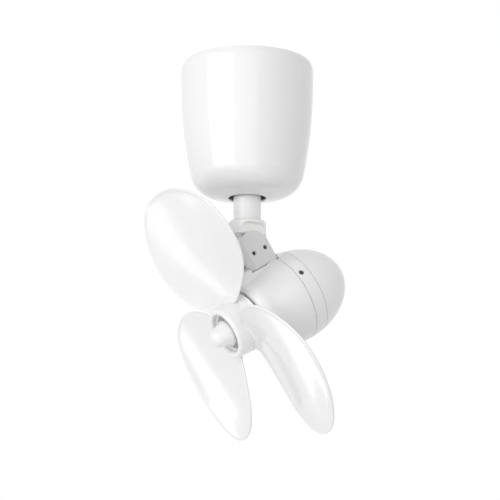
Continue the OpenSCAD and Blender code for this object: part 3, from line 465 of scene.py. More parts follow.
class Bench:
    """The nodes of one material or of the world, and the one way in which they are added."""

    noise_roughness: float = 0.55

    def __init__(self, tree: bpy.types.NodeTree) -> None:
        """Empties the tree."""
        self.tree = tree
        tree.nodes.clear()

    def node(self, kind: str, settings: dict[str, Any], values: dict[Any, Any], output: Any = 0) -> Wire:
        """Adds a node.

        Args:
            kind: type of the node.
            settings: its settings, set first.
            values: numbers, colours or wires for its sockets, by name or number.
            output: the output to return, by name or number.

        Returns:
            The wire of that output.
        """
        made = self.tree.nodes.new(kind)
        for key, value in settings.items():
            setattr(made, key, value)
        for key, value in values.items():
            if isinstance(value, Wire):
                self.tree.links.new(value.socket, made.inputs[key])
            else:
                made.inputs[key].default_value = value
        if not made.outputs:
            return Wire(self, made.inputs[0])
        return Wire(self, made.outputs[output])

    def place(self) -> Wire:
        """The point on the object, in metres."""
        return self.node("ShaderNodeTexCoord", {}, {}, "Object")

    def noise(self, size: float, detail: float = 2.0,
              stretch: tuple[float, float, float] = (1, 1, 1)) -> Wire:
        """Soft noise.

        Args:
            size: rough width of its spots, in millimetres.
            detail: finer octaves.
            stretch: how much denser it is along each axis.

        Returns:
            A value near one half.
        """
        spot = self.node("ShaderNodeMapping", {}, {"Vector": self.place(), "Scale": stretch})
        values = {"Vector": spot, "Scale": 1 / (size * MM), "Detail": detail,
                  "Roughness": self.noise_roughness}
        return self.node("ShaderNodeTexNoise", {}, values, "Fac")

    def along(self, direction: Array) -> Wire:
        """How far the point lies along a direction, in metres."""
        return self.node("ShaderNodeVectorMath", {"operation": "DOT_PRODUCT"},
                         {0: self.place(), 1: tuple(direction)}, "Value")

    def blend(self, factor: Wire, first: tuple[float, ...], second: tuple[float, ...]) -> Wire:
        """A colour between two colours."""
        return self.node("ShaderNodeMix", {"data_type": "RGBA"},
                         {"Factor": factor, 6: first, 7: second}, 2)

    def bump(self, height: Wire, distance: float, strength: float = 1.0) -> Wire:
        """A surface that rises and falls with a value, over a distance in millimetres."""
        return self.node("ShaderNodeBump", {},
                         {"Height": height, "Distance": distance * MM, "Strength": strength}, "Normal")


@dataclass(frozen=True)
class Grain:
    """A surface that soft noise lifts and lowers, with its size and depth in millimetres."""

    size: float
    detail: float
    depth: float
    strength: float = 1.0
    stretch: tuple[float, float, float] = (1, 1, 1)

    def relief(self, bench: Bench) -> Wire:
        """The bumped normal."""
        return bench.bump(bench.noise(self.size, self.detail, self.stretch), self.depth, self.strength)


@dataclass(frozen=True)
class Lines:
    """A surface of fine lines across the shaft, with their pitch and depth in millimetres."""

    pitch: float
    depth: float
    wander: float = 0.0

    def relief(self, bench: Bench) -> Wire:
        """The bumped normal: a sine of the way along the shaft, which soft noise makes wander.

        Args:
            bench: the material's nodes.

        Returns:
            The wire of the normal.
        """
        wave = bench.along(motor_axes().third) * (2 * math.pi / (self.pitch * MM))
        if self.wander:
            wave = wave + bench.noise(self.wander) * self.wander
        return bench.bump(wave.sine(), self.depth)


class Surface(Enum):
    """How the surface of a finish is worked."""

    MOULDED = Grain(9.0, 1.0, 0.02, 0.5)
    GRAINED = Grain(0.45, 2.0, 0.03, 0.6)
    ENAMEL = Grain(1.8, 2.0, 0.02, 0.5)
    PLATED = Grain(2.5, 4.0, 0.03, 0.5)
    BRUSHED = Grain(0.5, 3.0, 0.02, 0.6, stretch=(0.08, 1, 1))
    CAST = Grain(0.9, 4.0, 0.08, 0.7)
    BOARD = Grain(0.6, 2.0, 0.02)
    LAYERED = Lines(0.7, 0.1)
    WOUND = Lines(1.1, 0.25, wander=6.0)


@dataclass(frozen=True)
class Finish:
    """A finish of the fan: two near colours, its gloss and how its surface is worked."""

    slot: str
    colour: tuple[float, float, float]
    second: tuple[float, float, float]
    surface: Surface
    roughness: float
    spread: float = 0.05
    metallic: float = 0.0
    coat: float = 0.0
    cloud_size: float = 28.0
    cloud_share: float = 0.7
    fine_size: float = 3.0
    fine_share: float = 0.3
    noise_detail: float = 3.0
    mix_low: float = 0.35
    contrast: float = 3.0
    least_roughness: float = 0.04
    coat_roughness: float = 0.06

    def make(self) -> bpy.types.Material:
        """Makes the material.

        Its two colours part in clouds of coarse and fine noise, added in their shares, less the low end
        and times the contrast. Its gloss follows the fine noise.

        Returns:
            A material named after its slot.
        """
        material = bpy.data.materials.new(self.slot + "_finish")
        material.use_nodes = True
        bench = Bench(material.node_tree)
        cloud = bench.noise(self.cloud_size, self.noise_detail)
        fine = bench.noise(self.fine_size, self.noise_detail)
        mix = (cloud * self.cloud_share + fine * self.fine_share - self.mix_low) * self.contrast
        paint = bench.blend(mix.held(0, 1), (*self.colour, 1), (*self.second, 1))
        rough = self.roughness + (fine - 0.5) * self.spread
        shader = bench.node("ShaderNodeBsdfPrincipled", {}, {
            "Base Color": paint, "Roughness": rough.held(self.least_roughness, 1),
            "Metallic": self.metallic, "Coat Weight": self.coat, "Coat Roughness": self.coat_roughness,
            "Normal": self.surface.value.relief(bench)})
        bench.node("ShaderNodeOutputMaterial", {}, {"Surface": shader})
        return material


FINISHES = (
    Finish("gloss_white", (0.85, 0.845, 0.845), (0.835, 0.83, 0.832), Surface.MOULDED, 0.15, coat=0.4),
    Finish("housing_white", (0.88, 0.878, 0.878), (0.865, 0.863, 0.865), Surface.MOULDED, 0.25, coat=0.1),
    Finish("cover_white", (0.76, 0.75, 0.75), (0.74, 0.735, 0.735), Surface.GRAINED, 0.48),
    Finish("painted_white", (0.93, 0.925, 0.92), (0.91, 0.905, 0.9), Surface.ENAMEL, 0.25, coat=0.4),
    Finish("zinc_steel", (0.82, 0.825, 0.83), (0.74, 0.75, 0.76), Surface.PLATED, 0.38, 0.16, metallic=0.8),
    Finish("dark_steel", (0.1, 0.1, 0.105), (0.065, 0.065, 0.07), Surface.BRUSHED, 0.42, 0.1, metallic=0.8),
    Finish("ground_steel", (0.75, 0.75, 0.76), (0.66, 0.66, 0.67), Surface.BRUSHED, 0.2, 0.12, metallic=1.0),
    Finish("cast_aluminium", (0.68, 0.69, 0.7), (0.58, 0.59, 0.6), Surface.CAST, 0.48, 0.12, metallic=0.9),
    Finish("bearing_plastic", (0.86, 0.84, 0.77), (0.82, 0.8, 0.73), Surface.ENAMEL, 0.42),
    Finish("lamination_steel", (0.34, 0.36, 0.38), (0.24, 0.25, 0.27), Surface.LAYERED, 0.45, 0.1,
           metallic=0.85),
    Finish("copper", (0.62, 0.28, 0.13), (0.5, 0.2, 0.09), Surface.WOUND, 0.3, 0.1, metallic=0.9),
    Finish("bronze", (0.6, 0.43, 0.22), (0.48, 0.34, 0.17), Surface.CAST, 0.45, 0.1, metallic=0.9),
    Finish("board_green", (0.05, 0.24, 0.11), (0.04, 0.18, 0.08), Surface.BOARD, 0.35, coat=0.3),
    Finish("part_black", (0.03, 0.03, 0.032), (0.02, 0.02, 0.022), Surface.GRAINED, 0.45),
)


class Stock:
    """The finished materials, and the way in which a piece gets its finish, its body and its nodes."""

    weld: float = 1e-6
    flat_turn: float = 0.4
    sharp_turn: float = 35.0
    edge_turn: float = 40.0
    edge_pieces: int = 2

    def __init__(self) -> None:
        """Makes every finish once."""
        self.materials = {finish.slot: finish.make() for finish in FINISHES}
        self.replaced: set[str] = set()

    def settle(self, piece: bpy.types.Object, slot: str, body: str, *nodes: str) -> None:
        """Finishes a new piece and gives it its place in the fan.

        Args:
            piece: the new piece.
            slot: the record's material slot.
            body: the body that it rides on.
            nodes: the CAD nodes that it stands for.
        """
        piece.data.materials.append(self.materials[slot])
        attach(piece, body)
        if nodes:
            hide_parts(*nodes)
            self.replaced.update(nodes)
        log.info("%s on %s: %d faces", piece.name, body, len(piece.data.polygons))

    def soften(self, node: str, slot: str, body: str, edge: float) -> None:
        """Replaces a CAD node by a merged copy with rounded edges.

        Args:
            node: the CAD node.
            slot: its material slot.
            body: its body.
            edge: radius of the edges, in millimetres.
        """
        work = bmesh.new()
        work.from_mesh(frame["nodes"][node].data)
        bmesh.ops.remove_doubles(work, verts=work.verts, dist=self.weld)
        limit = math.radians(self.flat_turn)
        bmesh.ops.dissolve_limit(work, angle_limit=limit, verts=work.verts, edges=work.edges)
        mesh = bpy.data.meshes.new(node + "_edged")
        shaded(work, mesh, self.sharp_turn)
        piece = added(node + "_edged", mesh)
        bevel = piece.modifiers.new("edge", "BEVEL")
        bevel.width = edge * MM
        bevel.segments = self.edge_pieces
        bevel.limit_method = "ANGLE"
        bevel.angle_limit = math.radians(self.edge_turn)
        bevel.use_clamp_overlap = True
        self.settle(piece, slot, body, node)

    def dress_rest(self) -> None:
        """Gives every CAD node that still shows the finish of its slot."""
        for part in frame["record"]["subparts"]:
            name = part["node"]
            if name in self.replaced:
                continue
            shown = frame["nodes"][name]
            material = self.materials[part["material_slot"]]
            if not shown.material_slots:
                shown.data.materials.append(material)
            for held in shown.material_slots:
                held.material = material


# Screws

@dataclass
class Screw:
    """A screw with a cross recess, drawn with its head's underside at the origin and its point along -Z.

    The arm, its draft, its reach and the fall of the head are shares of the head's radius and height.
    """

    head: float
    height: float
    shank: float
    length: float
    cross: float = 0.8
    arm: float = 0.16
    draft: float = 0.02
    reach: float = 0.5
    fall: float = 0.3

    def head_lines(self) -> Array:
        """Places of the grid lines across the head, closer together at the walls of the cross.

        Returns:
            Shares of the head's radius, from -1 to 1.
        """
        inner = np.array([0.0, self.arm - self.draft, self.arm + self.draft, 0.3, 0.42])
        outer = np.sin(np.linspace(0.62, QUARTER, 9))
        half = np.concatenate([inner, outer])
        return np.concatenate([-half[:0:-1], half])

    def build(self, name: str, places: Sequence[Axes]) -> bpy.types.Object:
        """Builds the screws of one node.

        The head's face is a square grid drawn out to a disc, where a point at a and b goes to a times
        the root of one less half b squared. It falls in a cross, and towards the rim as the fourth power.

        Args:
            name: name of the piece.
            places: a frame for each screw, with Z out of the head.

        Returns:
            One object with all the screws.
        """
        line = self.head_lines()
        a, b = np.meshgrid(line, line, indexing="ij")
        x, y = a * np.sqrt(1 - b * b / 2), b * np.sqrt(1 - a * a / 2)
        thin, far = np.minimum(np.abs(a), np.abs(b)), np.maximum(np.abs(a), np.abs(b))
        arms = (thin < self.arm) & (far < self.reach)
        dome = self.height * (1 - self.fall * np.hypot(x, y) ** 4)
        face = np.stack([x * self.head, y * self.head, dome - self.cross * arms], axis=-1)
        whole = slice(0, len(line) - 1)
        rim = border(face, whole, whole)
        turn = np.arctan2(rim[:, 1], rim[:, 0])
        low = self.height * (1 - self.fall)
        side = rounded(np.array([[self.head, low, 0], [self.head, 0, 0.15], [self.shank, 0, 0.2],
                                 [self.shank, -self.length, 0.3], [0, -self.length, 0]]), steps=3)
        skin = Skin()
        for place in places:
            skin.sheet(place.place(face))
            skin.sheet(place.place(revolved(side, turn)), around=True)
        return skin.build(name, hanging_axes())


# Sub-assemblies, sized in millimetres

@dataclass
class Canopy:
    """The deep cup under the ceiling, its lock screw and the plate that it hooks on."""

    radius: float = 89.0
    height: float = 185.0
    wall: float = 3.0
    rim_draw: float = 3.0
    rim_height: float = 9.0
    taper: float = 14.0
    corner: float = 33.0
    slope: float = math.radians(12)
    hole: float = 25.0
    edge: float = 0.9
    plate_radius: float = 82.0
    hook_radius: float = 76.0
    hook_low: float = -9.7
    hook_high: float = -6.7
    hook_gap: float = 1.5
    hook_bite: float = 0.5
    hook_round: float = 0.4
    hook_turns: tuple[float, ...] = (95.0, 215.0, 335.0)
    hook_half_turn: float = 10.0
    lock_turn: float = math.radians(155)
    lock_depth: float = 14.0
    lock_reach: float = 4.0
    sides: int = 216

    def shoulder(self) -> tuple[float, float, float]:
        """Where the side meets the rounded corner above the sloping underside.

        Returns:
            The depth at which the side ends, the power of its curve and the radius of the corner's middle.
        """
        arc = math.cos(self.slope) - math.sin(self.slope)
        end = self.radius - self.taper - self.corner * arc
        depth = self.height - (end - self.hole) * math.tan(self.slope) - self.corner * arc
        power = math.tan(self.slope) * (depth - self.rim_height) / self.taper
        return depth, power, self.radius - self.taper - self.corner * math.cos(self.slope)

    def side(self, depth: Array) -> Array:
        """The side: drawn in as a square at the rim, and as a power of the depth below it.

        Args:
            depth: depth below the ceiling.

        Returns:
            The side's radius at that depth.
        """
        bottom, power = self.shoulder()[:2]
        rim = self.radius - self.rim_draw * (np.maximum(self.rim_height - depth, 0) / self.rim_height) ** 2
        share = np.maximum(depth - self.rim_height, 0) / (bottom - self.rim_height)
        return rim - self.taper * share ** power

    def outline(self, inset: float) -> Array:
        """The cup's outline: its side, a circular corner and the straight slope to the hole.

        Args:
            inset: distance by which it is drawn in.

        Returns:
            Radius and height from the ceiling to the hole.
        """
        bottom, middle = self.shoulder()[::2]
        depth = np.concatenate([np.linspace(0, self.rim_height, 13),
                                np.linspace(self.rim_height, bottom, 61)[1:]])
        t = np.linspace(self.slope, QUARTER - self.slope, 33)[1:]
        arc_depth = bottom - self.corner * math.sin(self.slope)
        arc = np.column_stack([middle + (self.corner - inset) * np.cos(t),
                               -arc_depth - (self.corner - inset) * np.sin(t)])
        end = [[self.hole, -self.height + inset / math.cos(self.slope)]]
        return np.concatenate([np.column_stack([self.side(depth) - inset, -depth]), arc, end])

    def build(self) -> bpy.types.Object:
        """The cup: its outline and the same drawn in by the wall, turned round the neck's axis.

        Returns:
            The cup with its three hooks.
        """
        outer, inner = plain(self.outline(0)), plain(self.outline(self.wall))[::-1]
        outer[[0, -1], 2] = self.edge
        inner[[0, -1], 2] = self.edge
        skin = Skin()
        skin.lathe(closed_line(np.concatenate([outer, inner]), 5, 3.0), self.sides)
        for turn in self.hook_turns:
            self.add_hook(skin, math.radians(turn))
        return skin.build("canopy_cup", hanging_axes())

    def add_hook(self, skin: Skin, middle: float) -> None:
        """Adds a tab inside the rim: a rounded rectangle carried along a short arc, with closed ends.

        Args:
            skin: the cup's skin.
            middle: angle of the tab's middle round the cup.
        """
        low, high, edge = self.hook_low, self.hook_high, self.hook_round
        inner, outer = self.hook_radius + self.hook_gap, self.radius - self.wall + self.hook_bite
        corners = [[inner, low, edge], [outer, low, edge], [outer, high, edge], [inner, high, edge]]
        loop = rounded(np.array(corners), closed=True, steps=3)
        turn = middle + np.radians(np.linspace(-self.hook_half_turn, self.hook_half_turn, 21))
        skin.sheet(capped(revolved(loop, turn).swapaxes(0, 1)), around=True)

    def dress(self, stock: Stock) -> None:
        """Builds the cup, its screw and the edged copies of the plates.

        Args:
            stock: the finishes, which take each piece.
        """
        stock.settle(self.build(), "gloss_white", "mount", "canopy")
        out = np.array([math.cos(self.lock_turn), math.sin(self.lock_turn), 0.0])
        along = np.array([-out[1], out[0], 0.0])
        head_at = float(self.side(np.array(self.lock_depth)))
        spot = Axes(out * head_at + np.array([0, 0, -self.lock_depth]), along, np.array([0.0, 0, 1]), out)
        screw = Screw(head=3.6, height=2.5, shank=2.0, length=head_at - self.plate_radius + self.lock_reach)
        stock.settle(screw.build("canopy_screw", [spot]), "zinc_steel", "mount", "canopy_lock_screw")
        for node in ("ceiling_plate", "chassis_plate", "standoffs"):
            stock.soften(node, "zinc_steel", "mount", edge=0.3)


@dataclass
class Neck:
    """The turning tube and the yoke that is pressed into it."""

    tube: float = 18.3
    bore: float = 14.3
    top: float = -45.2
    ring_low: float = -50.0
    ring_high: float = -48.2
    groove: float = 1.3
    collar: float = -216.5
    socket: float = 4.0
    spigot_top: float = -193.5
    barrel: float = 25.0
    bottom: float = -236.0
    shoulder: float = 3.0
    flat: float = 18.0
    flat_top: float = -221.5
    flat_round: float = 10.0
    flat_edge: float = 1.2
    flat_soft: float = 0.12
    foot_edge: float = 0.5
    wire: float = 6.0
    well_floor: float = 3.0
    press: float = 0.02
    hinge_y: float = 2.0
    hinge_z: float = -253.5
    knuckle: float = 14.0
    knuckle_half: float = 8.7
    knuckle_edge: float = 0.6
    knuckle_sunk: float = 1.0
    end_edge: float = 0.4
    top_edge: float = 0.5
    groove_edge: float = 0.15

    def build_tube(self) -> bpy.types.Object:
        """The tube: its wall's outline with the ring's groove, turned round the neck's axis.

        Returns:
            The tube.
        """
        low, slot, edge = self.collar - self.socket, self.tube - self.groove, self.groove_edge
        corners = [[self.tube, low, self.end_edge], [self.tube, self.ring_low, edge],
                   [slot, self.ring_low, edge], [slot, self.ring_high, edge],
                   [self.tube, self.ring_high, edge], [self.tube, self.top, self.top_edge],
                   [self.bore, self.top, self.end_edge], [self.bore, low, self.end_edge]]
        skin = Skin()
        skin.lathe(closed_line(np.array(corners), 4, 3.0), 128)
        return skin.build("neck_pipe", hanging_axes())

    def ledge(self, y: Array) -> Array:
        """The top of a flat: level in the middle and falling in a quarter circle at each side.

        Args:
            y: distance from the middle of the flat.

        Returns:
            The height at which the flat begins.
        """
        reach = math.sqrt(self.barrel ** 2 - self.flat ** 2)
        over = np.clip(np.abs(y) - (reach - self.flat_round), 0, self.flat_round)
        return self.flat_top - self.flat_round + np.sqrt(self.flat_round ** 2 - over ** 2)

    def barrel_turns(self) -> Array:
        """Angles round the barrel, closer together at the edges of its two flats.

        Returns:
            The angles of a full circle, without the last one.
        """
        edge = math.acos(self.flat / self.barrel)
        near = edge + np.radians([-2.4, -1.6, -0.9, -0.4, 0, 0.4, 0.9, 1.6, 2.4])
        side = np.concatenate([np.linspace(0, near[0], 26)[:-1], near,
                               np.linspace(near[-1], QUARTER, 26)[1:]])
        half = np.concatenate([side, math.pi - side[-2::-1]])
        return np.concatenate([half, math.pi + half[1:-1]])

    def crown(self, turns: Array) -> Array:
        """The top of the yoke: the wire's well, the tube's socket and the rounded head.

        The head's edge is a quarter circle of the shoulder's radius, and all is turned round the neck's
        axis.

        Args:
            turns: angles round the axis.

        Returns:
            Rows by angles by three coordinates, from the well's floor to the shoulder.
        """
        t = np.linspace(0, QUARTER, 9)
        inner_edge = self.barrel - self.shoulder
        head = np.column_stack([inner_edge + self.shoulder * np.sin(t),
                                self.collar - self.shoulder * (1 - np.cos(t))])
        floor, seat = self.bottom + self.well_floor, self.collar - self.socket
        bore, tube = self.bore - self.press, self.tube + self.press
        well = [[0, floor, 0], [self.wire, floor, 0.3], [self.wire, self.spigot_top, 0.4],
                [bore, self.spigot_top, 0.5], [bore, seat, 0.2], [tube, seat, 0.2],
                [tube, self.collar, 0.35], [inner_edge, self.collar, 0]]
        line = spaced(rounded(np.array(well), steps=4), 3.0)
        return revolved(np.concatenate([line, head[1:]]), turns)

    def barrel_sides(self, turns: Array) -> Array:
        """The barrel of the yoke with its two flats, as a radius over angle and height.

        The rows follow the ledge of the flats. Below it the radius is the lesser of the barrel's and the
        flat's distance over the cosine, with the corner between them rounded off. A row near the ledge
        is drawn in by a share of the cut, at a drop below the ledge.

        Args:
            turns: angles round the axis.

        Returns:
            Rows by angles by three coordinates, from the shoulder to the middle of the underside.
        """
        turns = turns[None, :]
        gap = self.flat / np.maximum(np.abs(np.cos(turns)), 1e-6) - self.barrel
        cut = self.barrel + (gap - np.sqrt(gap ** 2 + self.flat_soft ** 2)) / 2
        steps = [[-1.2, 0], [-0.6, 0], [-0.3, 0.02], [-0.1, 0.1], [0, 0.24], [0, 0.5], [0, 0.76],
                 [0.1, 0.9], [0.3, 0.98], [0.6, 1], [1.2, 1]]
        drop, drawn = np.array(steps).T[..., None]
        start = self.collar - self.shoulder
        upper_radius = np.full((7, 1), self.barrel) + 0 * turns
        share = np.linspace(0, 1, 8)[1:, None]
        upper_z = start + share * (self.ledge(upper_radius * np.sin(turns)) + self.flat_edge - start)
        ledge_radius = (1 - drawn) * self.barrel + drawn * cut
        ledge_z = self.ledge(ledge_radius * np.sin(turns)) - drop
        share = np.linspace(0, 1, 15)[1:, None]
        low_radius = cut + 0 * share
        low_start = self.ledge(low_radius * np.sin(turns)) - self.flat_edge
        low_z = low_start + share * (self.bottom + self.foot_edge - low_start)
        t = np.linspace(0, QUARTER, 5)[1:, None]
        foot_radius = cut - self.foot_edge * (1 - np.cos(t))
        foot_z = self.bottom + self.foot_edge * (1 - np.sin(t)) + 0 * turns
        floor_radius = np.array([0.7, 0.35, 0.0])[:, None] * (cut - self.foot_edge)
        radius = np.concatenate([upper_radius, ledge_radius, low_radius, foot_radius, floor_radius])
        height = np.concatenate([upper_z, ledge_z, low_z, foot_z, self.bottom + 0 * floor_radius])
        return np.stack([radius * np.cos(turns), radius * np.sin(turns), height], axis=-1)

    def build_yoke(self) -> bpy.types.Object:
        """The yoke: its crown and barrel in one, and the knuckle, a block with a round end.

        Returns:
            The yoke.
        """
        turns = self.barrel_turns()
        skin = Skin()
        skin.sheet(np.concatenate([self.crown(turns), self.barrel_sides(turns)]), around=True)
        t = np.linspace(math.pi, 2 * math.pi, 49)
        arc = np.column_stack([self.hinge_y + self.knuckle * np.cos(t),
                               self.hinge_z + self.knuckle * np.sin(t)])
        side = np.linspace(self.hinge_z, self.bottom + self.knuckle_sunk, 9)[1:]
        front = np.column_stack([self.hinge_y + self.knuckle + 0 * side, side])
        back = np.column_stack([self.hinge_y - self.knuckle + 0 * side, side])
        outline = np.concatenate([arc, front, back[::-1]])
        skin.sheet(slab(outline, -self.knuckle_half, self.knuckle_half, self.knuckle_edge), around=True)
        return skin.build("neck_yoke", hanging_axes())

    def dress(self, stock: Stock) -> None:
        """Builds the tube and the yoke."""
        stock.settle(self.build_tube(), "painted_white", "neck", "neck_tube")
        stock.settle(self.build_yoke(), "painted_white", "neck", "yoke")


@dataclass
class Hinge:
    """The cover over the hinge, the bracket under it and their screws."""

    half: float = 20.5
    radius: float = 21.0
    wall: float = 2.2
    bevel: float = 6.0
    bend: float = 1.3
    bottom: float = -28.0
    web_top: float = 1.0
    screws: tuple[tuple[float, float], ...] = ((-5.5, -7.5), (13.0, -7.5))
    recess: float = 3.0
    recess_room: float = 1.3
    boss: float = 4.2
    boss_gap: float = 0.05
    bracket_half: float = 13.0
    recess_floor: float = 1.5
    screw_end: float = 10.0
    web_screw_x: float = 6.0
    web_screw_z: float = -17.5
    fold_run: float = 1.5
    groove_depth: float = 0.9
    groove_width: float = 0.5
    edge: float = 0.35
    edge_points: int = 5
    rise_points: int = 41

    def folds(self) -> Array:
        """The folds of the cover, where its sides and its front meet their bevels.

        Returns:
            Both corners of its middle line on one side, in plan.
        """
        middle = self.wall / 2
        x, y = self.half - middle, self.radius - middle
        lean = self.bevel - middle * (2 - math.sqrt(2))
        return np.array([[x, lean - y], [x - lean, -y]])

    def path(self) -> tuple[Array, Array, Array]:
        """The middle line of the cover in plan, from one back edge round the front to the other.

        Returns:
            The points, their outward normals and the height of the cover at each.
        """
        first, second = self.folds()
        start, end = first + [0, self.fold_run], second - [self.fold_run, 0]
        corners = np.column_stack([[start, first, second, end], [0, self.bend, self.bend, 0]])
        turn = spaced(rounded(corners, steps=8), 0.25)
        back = self.radius * np.sin(np.linspace(QUARTER, math.asin(start[1] / self.radius), 44))[:-1]
        web = np.linspace(end[0], 0, 18)[1:]
        half = np.concatenate([np.column_stack([first[0] + 0 * back, back]), turn,
                               np.column_stack([web, second[1] + 0 * web])])
        step = np.gradient(half, axis=0)
        outward = unit(np.column_stack([-step[:, 1], step[:, 0]]))
        outer_y = np.clip(half[:, 1] + outward[:, 1] * self.wall / 2, -self.radius, self.radius)
        height = np.maximum(np.sqrt(self.radius ** 2 - outer_y ** 2), 0)
        height = np.where(outer_y < 0, np.maximum(height, self.web_top), height)
        flip = np.array([-1, 1])
        line = np.concatenate([half, half[-2::-1] * flip])
        normal = np.concatenate([outward, outward[-2::-1] * flip])
        return line, normal, np.concatenate([height, height[-2::-1]])

    def section(self) -> Array:
        """The upright section of the cover's wall, a closed loop with quarter circles at its edges.

        Returns:
            Rows of the offset across the wall, the share of the height and a lift beyond it.
        """
        thick = self.wall / 2
        t = np.linspace(0, QUARTER, self.edge_points)
        rise = np.linspace(0, 1, self.rise_points)
        low_round = np.column_stack([thick - self.edge * (1 - np.sin(t)), 0 * t, -self.edge * np.cos(t)])
        outer = np.column_stack([thick + 0 * rise, rise, 0 * rise])
        top_round = np.column_stack([thick - self.edge * (1 - np.cos(t)), 1 + 0 * t, self.edge * np.sin(t)])
        half = np.concatenate([low_round[:-1], outer, top_round[1:]])
        return np.concatenate([half, half[::-1] * np.array([-1, 1, 1])])

    def wall_points(self) -> Array:
        """The cover's wall: its section carried round its path.

        A point is the path's point, plus the normal times the offset, at the share of the way from the
        bottom to the top. A bell curve of the distance to a fold draws the outer face in along it.

        Returns:
            Places along the path by points of the section by three coordinates.
        """
        line, normal, top = self.path()
        offset, share, lift = self.section().T[:, None]
        low, high = self.bottom + self.edge, top[:, None] - self.edge
        height = low + share * (high - low) + lift
        mirrored = np.column_stack([np.abs(line[:, 0]), line[:, 1]])
        away = np.linalg.norm(mirrored[:, None] - self.folds(), axis=-1).min(1)
        groove = self.groove_depth * np.exp(-2 * (away / self.groove_width) ** 2)[:, None]
        offset = offset - groove * (offset > 0.9 * self.wall / 2)
        plan = line[:, None] + normal[:, None] * offset[..., None]
        return np.concatenate([plan, height[..., None]], axis=-1)

    def build(self) -> bpy.types.Object:
        """The cover: its wall, closed at both ends, with recesses sunk in its sides.

        Returns:
            The cover.
        """
        grid = self.wall_points()
        skin = Skin()
        skip = np.zeros((grid.shape[0] - 1, grid.shape[1]), bool)
        first = self.edge_points - 1
        outer_cols = slice(first, first + self.rise_points)
        first += grid.shape[1] // 2
        inner_cols = slice(first, first + self.rise_points)
        inside = self.half - self.wall
        seat = self.bracket_half + self.recess_floor
        for place in self.screws:
            sunk = Recess(place, self.recess, cup(self.recess, self.half - seat))
            boss = Recess(place, self.boss, cup(self.boss, inside - self.bracket_half - self.boss_gap))
            for side in (1, -1):
                self.add_recess(skin, skip, grid, sunk, side, outer_cols, self.half)
                self.add_recess(skin, skip, grid, boss, side, inner_cols, inside)
        closed = capped(grid)
        skin.sheet(closed[:2], around=True)
        skin.sheet(grid, around=True, skip=skip)
        skin.sheet(closed[-2:], around=True)
        return skin.build("hinge_hood", hinge_axes())

    def add_recess(self, skin: Skin, skip: Array, grid: Array, sunk: Recess, side: int, cols: slice,
                   face: float) -> None:
        """Sinks one round recess in a side of the cover, from the outer or the inner face.

        Args:
            skin: the cover's skin.
            skip: mask of the faces that are left out, changed here.
            grid: the cover's points.
            sunk: the recess, placed by its distance to the back and up.
            side: 1 or -1, the side in X.
            cols: the columns of the face.
            face: distance of the face from the middle.
        """
        count = len(grid)
        room = sunk.radius + self.recess_room
        near = np.flatnonzero(np.abs(grid[: count // 2, cols.start, 1] - sunk.at[0]) < room)
        rows = slice(near[0] - 1, near[-1] + 1)
        tall = np.flatnonzero(np.abs(grid[rows.start + len(near) // 2, cols, 2] - sunk.at[1]) < room)
        block = slice(cols.start + tall[0] - 1, cols.start + tall[-1] + 1)
        if side < 0:
            rows = slice(count - 1 - rows.stop, count - 1 - rows.start)
        skip[rows, block] = True
        edge = border(grid, rows, block)

        def surface(back: Array, up: Array, depth: Array) -> Array:
            """A point of the flat side at a depth."""
            return np.stack([side * (face - depth), back, up], axis=-1)

        skin.sheet(sunk.patch(edge[:, 1], edge[:, 2], surface), around=True)

    def dress(self, stock: Stock) -> None:
        """Builds the cover, its screws and the edged copies of the bracket and bolts.

        Args:
            stock: the finishes, which take each piece.
        """
        stock.settle(self.build(), "cover_white", "head", "hinge_cover")
        axes = hinge_axes()
        seat = self.bracket_half + self.recess_floor
        places = []
        for back, up in self.screws:
            places.append(axes.moved(seat, back, up).turned("+y", "+z", "+x"))
            places.append(axes.moved(-seat, back, up).turned("-y", "+z", "-x"))
        side_screw = Screw(head=2.7, height=2.0, shank=1.5, length=seat - self.screw_end)
        stock.settle(side_screw.build("cover_side_screws", places), "dark_steel", "head", "cover_screws")
        fronts = [axes.moved(x, -self.radius, self.web_screw_z).turned("+x", "+z", "-y")
                  for x in (-self.web_screw_x, self.web_screw_x)]
        web_screw = Screw(head=2.8, height=1.2, shank=1.5, length=7.0, cross=0.6)
        stock.settle(web_screw.build("cover_front_screws", fronts), "dark_steel", "head", "web_screws")
        stock.soften("tilt_bracket", "zinc_steel", "head", edge=0.4)
        for node in ("hinge_bolt", "hinge_nut", "hinge_washers"):
            stock.soften(node, "dark_steel", "head", edge=0.25)


